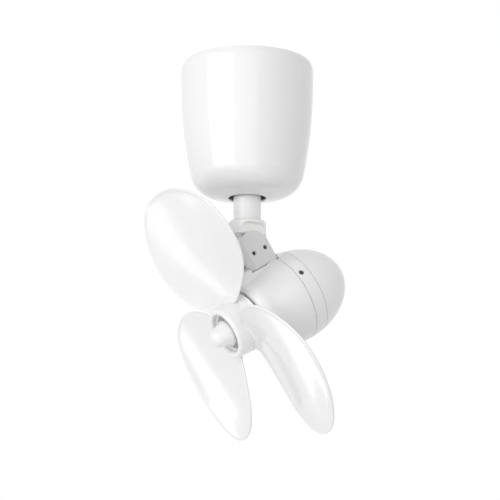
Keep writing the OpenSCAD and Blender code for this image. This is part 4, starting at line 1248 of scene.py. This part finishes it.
@dataclass
class Motor:
    """The round motor housing: its front shell with the hinge's seat, the band and the back."""

    radius: float = 60.0
    wall: float = 3.0
    front: float = 47.0
    face: float = 41.0
    shoulder: float = 51.0
    shoulder_length: float = 14.0
    shell_end: float = -16.6
    band_front: float = -17.4
    band_back: float = -35.6
    dome_front: float = -36.4
    dome_middle: float = -19.0
    dome_length: float = 83.0
    sleeve: float = 56.0
    sleeve_inner: float = 53.0
    sleeve_front: float = -12.0
    sleeve_back: float = -41.0
    seat: float = 53.5
    seat_floor: float = 3.5
    seat_half: float = 22.0
    seat_front: float = 45.5
    seat_back: float = -22.0
    seat_edge: float = 1.2
    seat_fillet: float = 4.0
    edge_share: float = 0.45
    edge_growth: float = 0.4
    fillet_share: float = 0.9
    seat_rim: float = 1.4
    hump: float = 6.0
    hump_back: float = 22.0
    hump_flat: float = 29.0
    hump_end: float = 38.0
    hump_edge: float = 0.7
    face_turn: float = math.radians(28.9)
    seam_edge: float = 0.3
    seam_bend: float = 0.1
    tongue_high: float = 60.3
    tongue_low: float = 57.4
    tongue_edge: float = 1.2
    tongue_crown: float = 0.5
    tongue_sunk: float = 1.0
    lap: float = 0.25
    band_sides: int = 240
    half_side: float = math.radians(0.75)
    screw_turns: tuple[float, ...] = (24.0, -90.0, 156.0)
    screw_z: float = -24.5
    screw_recess: float = 3.5
    screw_room: float = 1.2
    screw_seat: float = 57.6
    screw_sunk: float = 0.25
    boss: float = 13.05
    bearing: float = 8.05
    bearing_stop: float = 3.0
    shaft_hole: float = 5.0
    boss_front: float = 54.0
    boss_back: float = 37.0

    def shoulder_start(self) -> float:
        """Place along the axis at which the shell's rounded shoulder begins."""
        return self.front - self.shoulder_length

    def seat_turn(self) -> float:
        """Angle in the shoulder's ellipse at which the seat ends."""
        return math.acos((self.seat_front - self.shoulder_start()) / self.shoulder_length)

    def shoulder_line(self, t: Array) -> Array:
        """The shoulder's quarter ellipse at an angle from the face, as radius and place along the axis."""
        return np.column_stack([self.face + (self.shoulder - self.face) * np.sin(t),
                                self.shoulder_start() + self.shoulder_length * np.cos(t)])

    def shell_radius(self, z: Array) -> Array:
        """The front shell behind its shoulder, which swells as one less a cosine.

        Args:
            z: place along the axis.

        Returns:
            The shell's radius there.
        """
        start = self.shoulder_start()
        share = (start - z) / (start - self.shell_end)
        return self.shoulder + (self.radius - self.shoulder) * (1 - np.cos(math.pi * share)) / 2

    def dome_radius(self, z: Array) -> Array:
        """Radius of the band and the back: an ellipse along the motor's axis."""
        share = np.minimum(0, z - self.dome_middle) / self.dome_length
        return self.radius * np.sqrt(np.maximum(0, 1 - share ** 2))

    def hump_rise(self, z: Array) -> Array:
        """Rise of the seat ahead of the cover: a step, a level stretch and a smooth fall."""
        fall = 1 - smoothstep((z - self.hump_flat) / (self.hump_end - self.hump_flat))
        return self.hump * fall * (z > self.hump_back)

    def section(self, radius: Array, half: Array, top: Array, block: Array) -> Array:
        """Sections of the front shell: a circle with a straight-sided block on top.

        One half runs from the top over the block's edge, down its wall, through a fillet and round the
        circle to the bottom. Edge and fillet are pulled curves. The edge grows with the top's rise over the
        seat, and both shrink on a low wall. Where block is 0 every point lies on the circle instead.

        Args:
            radius: the circle's radius in each row.
            half: half the block's width in each row.
            top: height of the block in each row.
            block: 1 where the row has the block and 0 where it has not.

        Returns:
            Rows by points by two coordinates.
        """
        radius, half, top, block = (np.asarray(item, float)[:, None] for item in (radius, half, top, block))
        start = np.arcsin(np.clip(half / np.maximum(radius, 1e-6), -1, 1))
        start = np.where(block > 0, start, self.face_turn)
        foot = radius * np.cos(start)
        wall = np.abs(top - foot)
        down = np.sign(foot - top)
        rise = np.maximum(top - self.seat, 0)
        edge = np.minimum(self.seat_edge + rise, self.edge_share * wall + self.edge_growth * rise)
        fillet = np.minimum(self.seat_fillet, self.fillet_share * (wall - edge))
        u = np.linspace(0, 1, 25)[None, :]
        flat_x, flat_y = u * (half - edge), top + 0 * u
        circle_x, circle_y = radius * np.sin(start * u), radius * np.cos(start * u)
        u = np.linspace(0, 1, 7)[None, 1:]
        weight = math.cos(math.pi / 4)
        edge_x = pulled_curve(half - edge, half, half, weight, u)
        edge_y = pulled_curve(top, top, top + down * edge, weight, u)
        u = np.linspace(0, 1, 9)[None, 1:-1]
        wall_x = half + 0 * u
        wall_y = (top + down * edge) + u * (foot - down * fillet - top - down * edge)
        swing = start + fillet / np.maximum(radius, 1e-6)
        u = np.linspace(0, 1, 11)[None, :]
        lean = np.where(down < 0, np.cos((QUARTER - start) / 2), np.cos((QUARTER + start) / 2))
        foot_x = pulled_curve(half, half, radius * np.sin(swing), lean, u)
        foot_y = pulled_curve(foot - down * fillet, foot, radius * np.cos(swing), lean, u)
        down_x = np.concatenate([edge_x, wall_x, foot_x], axis=1)
        down_y = np.concatenate([edge_y, wall_y, foot_y], axis=1)
        point_x, point_y = radius * np.sin(start), radius * np.cos(start)
        swing = np.where(block > 0, swing, start)
        a = swing + np.linspace(0, 1, 97)[None, 1:] * (math.pi - swing)
        x = np.concatenate([np.where(block > 0, flat_x, circle_x), np.where(block > 0, down_x, point_x),
                            radius * np.sin(a)], axis=1)
        y = np.concatenate([np.where(block > 0, flat_y, circle_y), np.where(block > 0, down_y, point_y),
                            radius * np.cos(a)], axis=1)
        right = np.stack([x, y], axis=-1)
        return np.concatenate([right, right[:, -2:0:-1] * np.array([-1, 1])], axis=1)

    def inner_section(self, section: Array, radius: Array) -> Array:
        """Rows inside the shell: the outer section's directions at a radius, cut under the seat's floor.

        Args:
            section: the outer rows.
            radius: radius of each inner row.

        Returns:
            Rows by points by two coordinates.
        """
        turn = np.arctan2(section[..., 0], section[..., 1])
        limit = (self.seat - self.seat_floor) / np.maximum(np.cos(turn), 1e-3)
        held = np.where(np.cos(turn) > 0.05, np.minimum(radius[:, None], limit), radius[:, None])
        return np.stack([held * np.sin(turn), held * np.cos(turn)], axis=-1)

    def seat_rows(self) -> Array:
        """The outside of the front shell along its seat, from the seam forward.

        The seat's front rim is rounded as one less the root of one less a square, and so is the edge of
        the hump's back wall. The rows stand closer together at that wall.

        Returns:
            Rows by points by three coordinates.
        """
        back = np.linspace(self.shell_end + self.seam_edge, self.shoulder_start(), 64)
        bend = self.shoulder_line(np.linspace(QUARTER, self.seat_turn(), 22)[1:])
        z = np.concatenate([[self.shell_end, self.shell_end + self.seam_bend], back, bend[:, 1]])
        seam = [self.radius - self.seam_edge, self.radius - self.seam_bend]
        radius = np.concatenate([seam, self.shell_radius(back), bend[:, 0]])
        step = self.hump_back + np.array([0, 0.05, 0.15, 0.35, 0.7, 1.2])
        order = np.argsort(np.append(z, step))
        radius = np.append(radius, self.shell_radius(step))[order]
        z = np.append(z, step)[order]
        draw = np.clip((z - self.seat_front) / self.seat_rim + 1, 0, 1)
        draw = self.seat_rim * (1 - np.sqrt(1 - draw ** 2))
        worn = np.clip((self.hump_back + self.hump_edge - z) / self.hump_edge, 0, 1)
        worn = self.hump_edge * (1 - np.sqrt(1 - worn ** 2)) * (z > self.hump_back)
        top = self.seat - draw + (self.hump_rise(z) - worn)
        return at_heights(self.section(radius, self.seat_half - draw, top, np.ones(len(z))), z)

    def nose_rows(self) -> Array:
        """The shell's front: the rest of the shoulder, the face, the bearing's boss and its inside.

        Returns:
            Rows by points by three coordinates, all round the axis.
        """
        stop = self.boss_back + self.bearing_stop
        inner_face = self.front - self.wall
        corners = [[self.face, self.front, 0], [self.boss, self.front, 0.8],
                   [self.boss, self.boss_front, 0.6], [self.bearing, self.boss_front, 0.2],
                   [self.bearing, stop, 0.1], [self.shaft_hole, stop, 0.1],
                   [self.shaft_hole, self.boss_back, 0.1], [self.boss, self.boss_back, 0.3],
                   [self.boss, inner_face, 1.0], [self.face - self.wall, inner_face, 0]]
        nose = spaced(rounded(np.array(corners), steps=4), 4.0)
        curve = np.concatenate([self.shoulder_line(np.linspace(self.seat_turn(), 0, 12)), nose[1:]])
        none = 0 * curve[:, 0]
        return at_heights(self.section(curve[:, 0], none, none, none), curve[:, 1])

    def inner_rows(self, ring: Array) -> Array:
        """The inside of the front shell, the wall's thickness under its outside, and the sleeve's seat.

        Args:
            ring: the outer section at the seam.

        Returns:
            Rows by points by three coordinates, from the face to the seam.
        """
        start = self.shoulder_start()
        t = QUARTER * np.linspace(0, 1, 24)
        straight = np.linspace(start, self.sleeve_front, 20)[1:]
        z = np.concatenate([start + (self.shoulder_length - self.wall) * np.cos(t), straight,
                            [self.sleeve_front, self.shell_end]])
        radius = np.concatenate([self.face - self.wall + (self.shoulder - self.face) * np.sin(t),
                                 self.shell_radius(straight) - self.wall, [self.sleeve, self.sleeve]])
        return at_heights(self.inner_section(np.repeat(ring, len(z), axis=0), radius), z)

    def build_front(self) -> bpy.types.Object:
        """The front shell: sections along the motor's axis from the seam to the shaft, and back inside.

        Returns:
            The front shell.
        """
        outer = self.seat_rows()
        inside = self.inner_rows(outer[:1, :, :2])
        skin = Skin()
        skin.sheet(np.concatenate([outer, self.nose_rows(), inside, outer[:1]]), around=True)
        return skin.build("motor_front", motor_axes())

    def add_tongue(self, skin: Skin) -> None:
        """Adds the end of the seat behind the hinge: a block whose top falls straight to the back.

        Its back end is drawn in by a quarter circle, its long edges are quarter circles and its top rises
        in the middle by one less a square.

        Args:
            skin: the band's skin.
        """
        edge = self.tongue_edge
        t = np.linspace(0, QUARTER, 7)[1:]
        last = self.band_back + edge
        z = np.concatenate([np.linspace(self.seat_back, last, 14), last - edge * np.sin(t)])
        share = (self.seat_back - z) / (self.seat_back - self.band_back)
        draw = np.concatenate([np.zeros(14), edge * (1 - np.cos(t))])
        top = self.tongue_high + (self.tongue_low - self.tongue_high) * share - draw
        half = (self.seat_half - draw)[:, None]
        u = np.linspace(-1, 1, 33)[None, :]
        t = np.linspace(0, QUARTER, 6)[None, 1:]
        brow = (top - edge)[:, None]
        wall = np.linspace(0, 1, 6)[None, 1:]
        wall_y = brow + wall * (self.sleeve - self.tongue_sunk - brow)
        flat = np.stack([u * (half - edge), top[:, None] + self.tongue_crown * (1 - u ** 2)], axis=-1)
        right = np.stack([np.concatenate([half - edge + edge * np.sin(t), half + 0 * wall], axis=1),
                          np.concatenate([brow + edge * np.cos(t), wall_y], axis=1)], axis=-1)
        loop = np.concatenate([flat, right, (right * np.array([-1, 1]))[:, ::-1]], axis=1)
        skin.sheet(capped(at_heights(loop, z)), around=True)

    def build_band(self) -> bpy.types.Object:
        """The band: a closed profile round the axis, cut flat under the seat, with sunk screw recesses.

        Returns:
            The band with the end of the seat.
        """
        outer_z = np.linspace(self.band_front - self.lap, self.band_back + self.lap, 27)
        cut = np.searchsorted(-outer_z, -self.seat_back)
        outer_z = np.insert(outer_z, cut, [self.seat_back, self.seat_back])
        under = np.zeros(len(outer_z), bool)
        under[: cut + 1] = True
        front = np.array([[self.sleeve_inner, self.sleeve_back], [self.sleeve_inner, self.seat_back],
                          [self.sleeve_inner, self.seat_back], [self.sleeve_inner, self.sleeve_front],
                          [self.sleeve, self.sleeve_front], [self.sleeve, self.band_front],
                          [self.dome_radius(self.band_front) - self.lap, self.band_front]])
        back = np.array([[self.dome_radius(self.band_back) - self.lap, self.band_back],
                         [self.sleeve, self.band_back], [self.sleeve, self.sleeve_back]])
        outer = np.column_stack([self.dome_radius(outer_z), outer_z])
        profile = np.concatenate([front, outer, back, front[:1]])
        held = np.concatenate([[False, False, True, True, True, True, True], under, np.zeros(4, bool)])
        turns = circle_turns(self.band_sides) + self.half_side
        up = np.maximum(np.sin(turns), 1e-3)[None, :]
        limit = np.where((np.sin(turns) > 0.5)[None, :], self.seat / up, 1e3)
        radius = np.where(held[:, None], np.minimum(profile[:, :1], limit), profile[:, :1])
        height = profile[:, 1:] + 0 * radius
        grid = np.stack([radius * np.cos(turns), radius * np.sin(turns), height], axis=-1)
        skin = Skin()
        skip = np.zeros((grid.shape[0] - 1, grid.shape[1]), bool)
        length = (turns * self.radius)[None, :] + 0 * radius
        room = self.screw_recess + self.screw_room

        def surface(z: Array, arc: Array, depth: Array) -> Array:
            """A point of the band at a depth under its round face."""
            out = self.dome_radius(z) - depth
            return np.stack([out * np.cos(arc / self.radius), out * np.sin(arc / self.radius), z], axis=-1)

        for turn in self.screw_turns:
            middle = math.radians(turn) % (2 * math.pi)
            around = np.flatnonzero(np.abs(turns - middle) * self.radius < room)
            rows = np.flatnonzero((np.abs(profile[:, 1] - self.screw_z) < room)
                                  & (profile[:, 0] > self.sleeve + 1))
            block_rows, block_cols = slice(rows[0] - 1, rows[-1] + 1), slice(around[0] - 1, around[-1] + 1)
            skip[block_rows, block_cols] = True
            sunk = Recess((self.screw_z, middle * self.radius), self.screw_recess,
                          cup(self.screw_recess, self.radius - self.screw_seat - self.screw_sunk))
            edge_z = border(grid[..., 2], block_rows, block_cols)
            edge_arc = border(length, block_rows, block_cols)
            skin.sheet(sunk.patch(edge_z, edge_arc, surface), around=True)
        skin.sheet(grid, around=True, skip=skip)
        self.add_tongue(skin)
        return skin.build("motor_band", motor_axes())

    def build_back(self) -> bpy.types.Object:
        """The round back: an ellipse turned round the axis, with its wall and a lap for the sleeve.

        Returns:
            The back.
        """
        first = math.asin((self.dome_middle - self.dome_front) / self.dome_length)
        t = np.linspace(first, QUARTER, 72)
        outer = np.column_stack([self.radius * np.cos(t), self.dome_middle - self.dome_length * np.sin(t)])
        length, wide = self.dome_length - self.wall, self.radius - self.wall
        lap = math.asin((self.dome_middle - self.sleeve_back) / length)
        t = np.linspace(QUARTER, lap, 48)
        inner = np.column_stack([wide * np.cos(t), self.dome_middle - length * np.sin(t)])
        inner[inner[:, 0] > self.sleeve, 0] = self.sleeve
        outer[-1, 0] = inner[0, 0] = 0
        lip = np.array([[self.sleeve, self.dome_front], [outer[0, 0] - self.seam_edge, self.dome_front],
                        [outer[0, 0] - self.seam_bend, self.dome_front - self.seam_bend]])
        skin = Skin()
        skin.lathe(np.concatenate([lip, outer[1:], inner, lip[:1]]), 216)
        return skin.build("motor_back", motor_axes())

    def dress(self, stock: Stock) -> None:
        """Builds the three shells and the band's screws.

        Args:
            stock: the finishes, which take each piece.
        """
        stock.settle(self.build_front(), "housing_white", "head", "front_shell")
        stock.settle(self.build_band(), "housing_white", "head", "band_ring")
        stock.settle(self.build_back(), "housing_white", "head", "rear_dome")
        axes = motor_axes()
        places = []
        for turn in self.screw_turns:
            cos, sin = math.cos(math.radians(turn)), math.sin(math.radians(turn))
            out = axes.across * cos + axes.second * sin
            spot = axes.moved(self.screw_seat * cos, self.screw_seat * sin, self.screw_z).origin
            places.append(Axes(spot, np.cross(axes.third, out), axes.third, out))
        screw = Screw(head=3.1, height=1.5, shank=1.5, length=8.0, cross=0.7)
        stock.settle(screw.build("band_screws", places), "dark_steel", "head", "housing_screws")


@dataclass
class Propeller:
    """The moulded propeller and the nose nut that holds it."""

    sweep: float = 203.0
    count: int = 3
    half: float = 99.0
    root_half: float = 25.0
    thick: float = 3.0
    root_pitch: float = math.radians(16.5)
    tip_pitch: float = math.radians(6.0)
    camber: float = 4.0
    rake: float = 8.5
    root: float = 30.5
    base: float = 70.0
    rake_peak: float = 0.74
    belly: float = 0.62
    belly_power: float = 2.5
    tip_power: int = 6
    lead: float = math.radians(-1.8)
    swept: float = math.radians(9.3)
    swept_peak: float = 0.7
    narrow: float = 6.5
    rim: float = 0.45
    rim_width: float = 2.6
    web: float = 3.6
    web_reach: float = 7.0
    web_power: float = 2.2
    span_end: float = 0.9995
    edge_full: float = 8.0
    hub: float = 35.0
    hub_flare: float = 42.5
    flare_length: float = 12.0
    flare_rise: float = 2.0
    hub_back: float = 50.0
    hub_front: float = 90.0
    hub_wall: float = 3.7
    hub_lip: float = 4.0
    hub_step: float = 3.0
    well_depth: float = 8.0
    floor_depth: float = 16.0
    floor_thick: float = 5.0
    boss_depth: float = 8.0
    boss_sunk: float = 10.0
    boss: float = 12.0
    shaft: float = 4.0
    nose: float = 17.5
    nose_base: float = 84.0
    nose_tip: float = 110.5
    nose_round: float = 13.0
    nose_foot: float = 3.0
    nose_neck: float = 9.0
    ribs: int = 24
    rib_high: float = 0.45
    rib_length: float = 6.0
    rib_level: float = 0.1
    rib_slope: float = 0.55
    rib_start: float = 0.2
    rib_rise: float = 0.5
    rib_fade: float = 2.0

    def hub_side(self, z: Array) -> Array:
        """The hub's side: a straight taper in front, flaring as a square to its back edge.

        Args:
            z: place along the shaft.

        Returns:
            The hub's radius there.
        """
        middle, wide = self.hub_back + self.flare_length, self.hub + self.flare_rise
        flare = wide + (self.hub_flare - wide) * ((middle - z) / (middle - self.hub_back)) ** 2
        taper = wide + (self.hub - wide) * (z - middle) / (self.hub_front - middle)
        return np.where(z < middle, flare, taper)

    def blade_point(self, s: Array, c: Array, lift: Array) -> Array:
        """A point of the first blade.

        Args:
            s: share of the span.
            c: place across the blade, from -1 to 1.
            lift: height over the blade's middle surface.

        Returns:
            The point. The chord is turned by the pitch, hollowed by one less c squared, and raked forward
            and swept round the hub as squares of the span. Half its width grows to the belly as a power,
            narrows behind it as a square, and ends at the tip as the root of one less a power.
        """
        turn = self.lead + self.swept * (1 - (1 - s / self.swept_peak) ** 2)
        pitch = self.tip_pitch + (self.root_pitch - self.tip_pitch) * (1 - s) ** 2
        out = self.root + (self.sweep - self.root - self.thick / 2) * s
        tip = np.sqrt(1 - s ** self.tip_power)
        before = np.maximum(1 - s / self.belly, 0) ** self.belly_power
        after = ((s - self.belly) / (1 - self.belly)) ** 2
        wide = np.where(s < self.belly, self.half - (self.half - self.root_half) * before,
                        self.half - self.narrow * after)
        along = c * (wide * tip - self.thick / 2 * np.minimum(1, wide * tip / self.edge_full))
        up = lift - self.camber * (1 - c * c) * tip
        forward = (self.base + self.rake * (1 - (1 - s / self.rake_peak) ** 2) - along * np.sin(pitch)
                   + up * np.cos(pitch))
        side = along * np.cos(pitch) + up * np.sin(pitch)
        return np.stack([out * np.sin(turn) + side * np.cos(turn),
                         out * np.cos(turn) - side * np.sin(turn), forward], axis=-1)

    def add_blades(self, skin: Skin) -> None:
        """Adds the blades: two sheets about the middle surface and a half round along their edge.

        The sheets part by half the thickness, less a dip that ends in a bell curve near the edge, plus a
        web that grows as a power of the nearness to the hub.

        Args:
            skin: the propeller's skin.
        """
        rows, cols = 84, 60
        s = self.span_end * np.sin(np.linspace(0, QUARTER, rows + 1))[:, None]
        c = np.sin(np.linspace(-QUARTER, QUARTER, cols + 1))[None, :]
        s, c = s + 0 * c, c + 0 * s
        middle = self.blade_point(s, c, 0 * s)
        everything = (slice(0, rows), slice(0, cols))
        rim = border(middle, *everything)
        edge = rim[cols:]
        away = np.sqrt(((middle.reshape(-1, 1, 3) - edge[None]) ** 2).sum(-1)).min(1).reshape(s.shape)
        clear = np.hypot(middle[..., 0], middle[..., 1]) - self.hub_side(middle[..., 2])
        web = self.web * np.clip(1 - clear / self.web_reach, 0, 1) ** self.web_power
        half = self.thick / 2 - self.rim * (1 - np.exp(-(away / self.rim_width) ** 2)) + web
        front, back = self.blade_point(s, c, half), self.blade_point(s, c, -half)
        up = unit(border(front - back, *everything))
        size = border(half, *everything)[:, None]
        along = unit(np.roll(rim, -1, axis=0) - np.roll(rim, 1, axis=0))
        out = unit(np.cross(along, up))
        out *= np.sign((out * (rim - middle.mean((0, 1)))).sum())
        psi = np.linspace(QUARTER, -QUARTER, 11)[:, None, None]
        bulge = np.minimum(size, self.thick / 2)
        strip = rim[None] + bulge * out[None] * np.cos(psi) + size * up[None] * np.sin(psi)
        for n in range(self.count):
            turn = -n * 2 * math.pi / self.count
            cos, sin = math.cos(turn), math.sin(turn)
            spin = np.array([[cos, sin, 0], [-sin, cos, 0], [0, 0, 1]])
            skin.sheet(front @ spin)
            skin.sheet(back @ spin)
            skin.sheet(strip @ spin, around=True)

    def build_propeller(self) -> bpy.types.Object:
        """The hub, a profile turned round the shaft, with the blades.

        Returns:
            The propeller.
        """
        lip = self.hub_lip
        z = np.linspace(self.hub_back, self.hub_front - lip, 28)
        side = np.column_stack([self.hub_side(z), z, 0 * z])
        t = np.linspace(0, math.pi, 15)[1:]
        crown = plain(np.column_stack([self.hub - lip + lip * np.cos(t),
                                       self.hub_front - lip + lip * np.sin(t)]))
        rim, top = self.hub - 2 * lip, self.hub_front - self.well_depth
        step = rim - self.hub_step
        floor, boss_back = self.hub_back + self.floor_depth, self.hub_back + self.boss_depth
        bed, boss_front = floor + self.floor_thick, self.hub_front - self.boss_sunk
        well = np.array([[rim, top, 1.5], [step, top, 0.8], [step, bed, 2.5], [self.boss, bed, 2.0],
                         [self.boss, boss_front, 0.6], [self.shaft, boss_front, 0.3],
                         [self.shaft, boss_back, 0.3], [self.boss, boss_back, 0.6],
                         [self.boss, floor, 2.0]])
        z = np.linspace(floor, self.hub_back, 12)
        inner = np.column_stack([self.hub_side(z) - self.hub_wall, z, 0 * z])
        side[0, 2] = inner[-1, 2] = 0.8
        inner[0, 2] = 2.0
        skin = Skin()
        skin.lathe(closed_line(np.concatenate([side, crown, well, inner]), 5, 2.0), 180)
        self.add_blades(skin)
        return skin.build("propeller_moulding", motor_axes())

    def build_nut(self) -> bpy.types.Object:
        """The nose nut: a cone with a round tip, whose radius rises in ribs round its base.

        A rib is a smooth step of the cosine of the angle, and smooth steps fade it in and out along the
        axis.

        Returns:
            The nut.
        """
        shoulder = self.nose_base + self.nose_foot
        ball = self.nose_tip - self.nose_round
        reach = math.hypot(self.nose, ball - shoulder)
        first = math.acos(self.nose_round / reach) - math.atan((ball - shoulder) / self.nose)
        t = np.linspace(first, QUARTER, 20)
        tip = plain(np.column_stack([self.nose_round * np.cos(t), ball + self.nose_round * np.sin(t)]))
        tip[-1, 0] = 0
        low = self.hub_front - self.boss_sunk
        foot = np.array([[0, low, 0], [self.nose_neck, low, 0.4], [self.nose_neck, self.nose_base, 0.5],
                         [self.nose, self.nose_base, 0.5], [self.nose, shoulder, 1.5]])
        line = spaced(rounded(np.concatenate([foot, tip]), steps=5), 0.8)
        turns = circle_turns(self.ribs * 16)
        wave = smoothstep((np.cos(turns * self.ribs) - self.rib_level) / self.rib_slope)[None, :]
        z = line[:, 1:2]
        end = self.nose_base + self.rib_length
        on = smoothstep((z - self.nose_base - self.rib_start) / self.rib_rise)
        on = on * smoothstep((end - z) / self.rib_fade) * (line[:, :1] > self.nose_neck + 2)
        grid = revolved(line, turns)
        grid[..., :2] *= (1 + self.rib_high * on * wave / np.maximum(line[:, :1], 1))[..., None]
        skin = Skin()
        skin.sheet(grid, around=True)
        return skin.build("nose_cap", motor_axes())

    def dress(self, stock: Stock) -> None:
        """Builds the propeller and its nut."""
        stock.settle(self.build_propeller(), "gloss_white", "rotor", "propeller")
        stock.settle(self.build_nut(), "gloss_white", "rotor", "nose_nut")


# Studio

@dataclass
class Lamp:
    """A flat softbox that looks at a point."""

    name: str
    at: tuple[float, float, float]
    size: tuple[float, float]
    power: float
    aim: tuple[float, float, float] = (0.0, 0.0, -0.25)
    roll: float = 0.0

    def build(self) -> None:
        """Hangs the lamp, turned to its aim and rolled about that line."""
        data = bpy.data.lights.new(self.name, "AREA")
        data.shape = "RECTANGLE"
        data.size, data.size_y = self.size
        data.energy = self.power
        lamp = added(self.name, data)
        lamp.location = self.at
        turn = (Vector(self.aim) - Vector(self.at)).to_track_quat("-Z", "Y")
        lamp.rotation_euler = (turn @ Quaternion((0, 0, 1), math.radians(self.roll))).to_euler()


@dataclass
class Studio:
    """The pale floor, the light and the camera."""

    camera_at: tuple[float, float, float] = (2.2366, -0.9918, -0.8061)
    camera_forward: tuple[float, float, float] = (-0.8912, 0.3968, 0.2199)
    lens: float = 136.8
    sensor: float = 36.0
    floor_height: float = -2.4
    floor_half: float = 12.0
    fill: float = 0.61
    floor_glow: float = 0.9
    lamps: tuple[Lamp, ...] = (
        Lamp("key_softbox", (0.91, -2.75, -0.1), (2.38, 2.3), 31.0),
        Lamp("front_softbox", (2.6, -1.5, -0.2), (2.6, 2.4), 15.0),
        Lamp("low_softbox", (1.9, -1.1, -1.8), (3.0, 2.4), 9.0),
        Lamp("top_softbox", (0.6, -0.6, 2.2), (2.0, 2.0), 6.0),
        Lamp("upper_blade_strip", (-1.68, -1.46, -1.43), (0.2, 1.2), 1.1, (0.0, 0.0, -0.35)),
        Lamp("left_blade_strip", (-2.24, -0.92, -0.85), (0.86, 0.09), 0.36, (0.0, 0.0, -0.38), -14.0),
        Lamp("right_blade_strip", (-2.33, -0.31, -1.11), (0.22, 0.05), 0.075, (0.0, 0.0, -0.38), -35.0),
    )

    @staticmethod
    def seen(bench: Bench) -> Wire:
        """One for camera, glossy and transmitted rays, and zero for all others."""
        rays = [bench.node("ShaderNodeLightPath", {}, {}, f"Is {kind} Ray")
                for kind in ("Camera", "Glossy", "Transmission")]
        return (rays[0] + rays[1] + rays[2]).held(0, 1)

    def build_world(self) -> None:
        """A surround that is white where it is seen and lights the fan softly."""
        world = bpy.data.worlds.new("studio")
        world.use_nodes = True
        bpy.context.scene.world = world
        bench = Bench(world.node_tree)
        seen = self.seen(bench)
        soft = bench.node("ShaderNodeBackground", {}, {"Color": (1, 1, 1, 1), "Strength": self.fill})
        white = bench.node("ShaderNodeBackground", {}, {"Color": (1, 1, 1, 1), "Strength": 1.0})
        both = bench.node("ShaderNodeMixShader", {}, {0: seen, 1: soft, 2: white})
        bench.node("ShaderNodeOutputWorld", {}, {"Surface": both})

    def build_floor(self) -> None:
        """A pale floor far below the fan, which glows nearly as white as the surround where it is seen."""
        mesh = bpy.data.meshes.new("studio_floor")
        side = self.floor_half
        corners = [(-side, -side, self.floor_height), (side, -side, self.floor_height),
                   (side, side, self.floor_height), (-side, side, self.floor_height)]
        mesh.from_pydata(corners, [], [(0, 1, 2, 3)])
        floor = added("studio_floor", mesh)
        material = bpy.data.materials.new("studio_paper")
        material.use_nodes = True
        bench = Bench(material.node_tree)
        paper = bench.blend(bench.noise(300.0).held(0, 1), (0.9, 0.9, 0.9, 1), (0.88, 0.88, 0.88, 1))
        shader = bench.node("ShaderNodeBsdfPrincipled", {}, {"Base Color": paper, "Roughness": 0.9})
        glow = bench.node("ShaderNodeEmission", {}, {"Color": (1, 1, 1, 1), "Strength": 1.0})
        share = self.seen(bench) * self.floor_glow
        both = bench.node("ShaderNodeMixShader", {}, {0: share, 1: shader, 2: glow})
        bench.node("ShaderNodeOutputMaterial", {}, {"Surface": both})
        mesh.materials.append(material)

    def build_camera(self) -> None:
        """The camera at the photograph's angle."""
        data = bpy.data.cameras.new("camera")
        data.lens, data.sensor_width = self.lens, self.sensor
        data.clip_end = 50.0
        forward = Vector(self.camera_forward).normalized()
        right = forward.cross(Vector((0, 0, 1))).normalized()
        up = right.cross(forward)
        camera = added("camera", data)
        turn = Matrix((right, up, -forward)).transposed().to_4x4()
        camera.matrix_world = Matrix.Translation(Vector(self.camera_at)) @ turn
        bpy.context.scene.camera = camera

    def build(self) -> None:
        """Sets up the whole studio."""
        bpy.context.scene.view_settings.view_transform = "Standard"
        self.build_camera()
        self.build_world()
        self.build_floor()
        for lamp in self.lamps:
            lamp.build()


def main() -> None:
    """Builds the studio and the fan."""
    logging.basicConfig(level=logging.INFO, format="%(message)s")
    Studio().build()
    stock = Stock()
    for part in (Canopy(), Neck(), Hinge(), Motor(), Propeller()):
        part.dress(stock)
    stock.dress_rest()


if __name__ == "__main__":
    main()
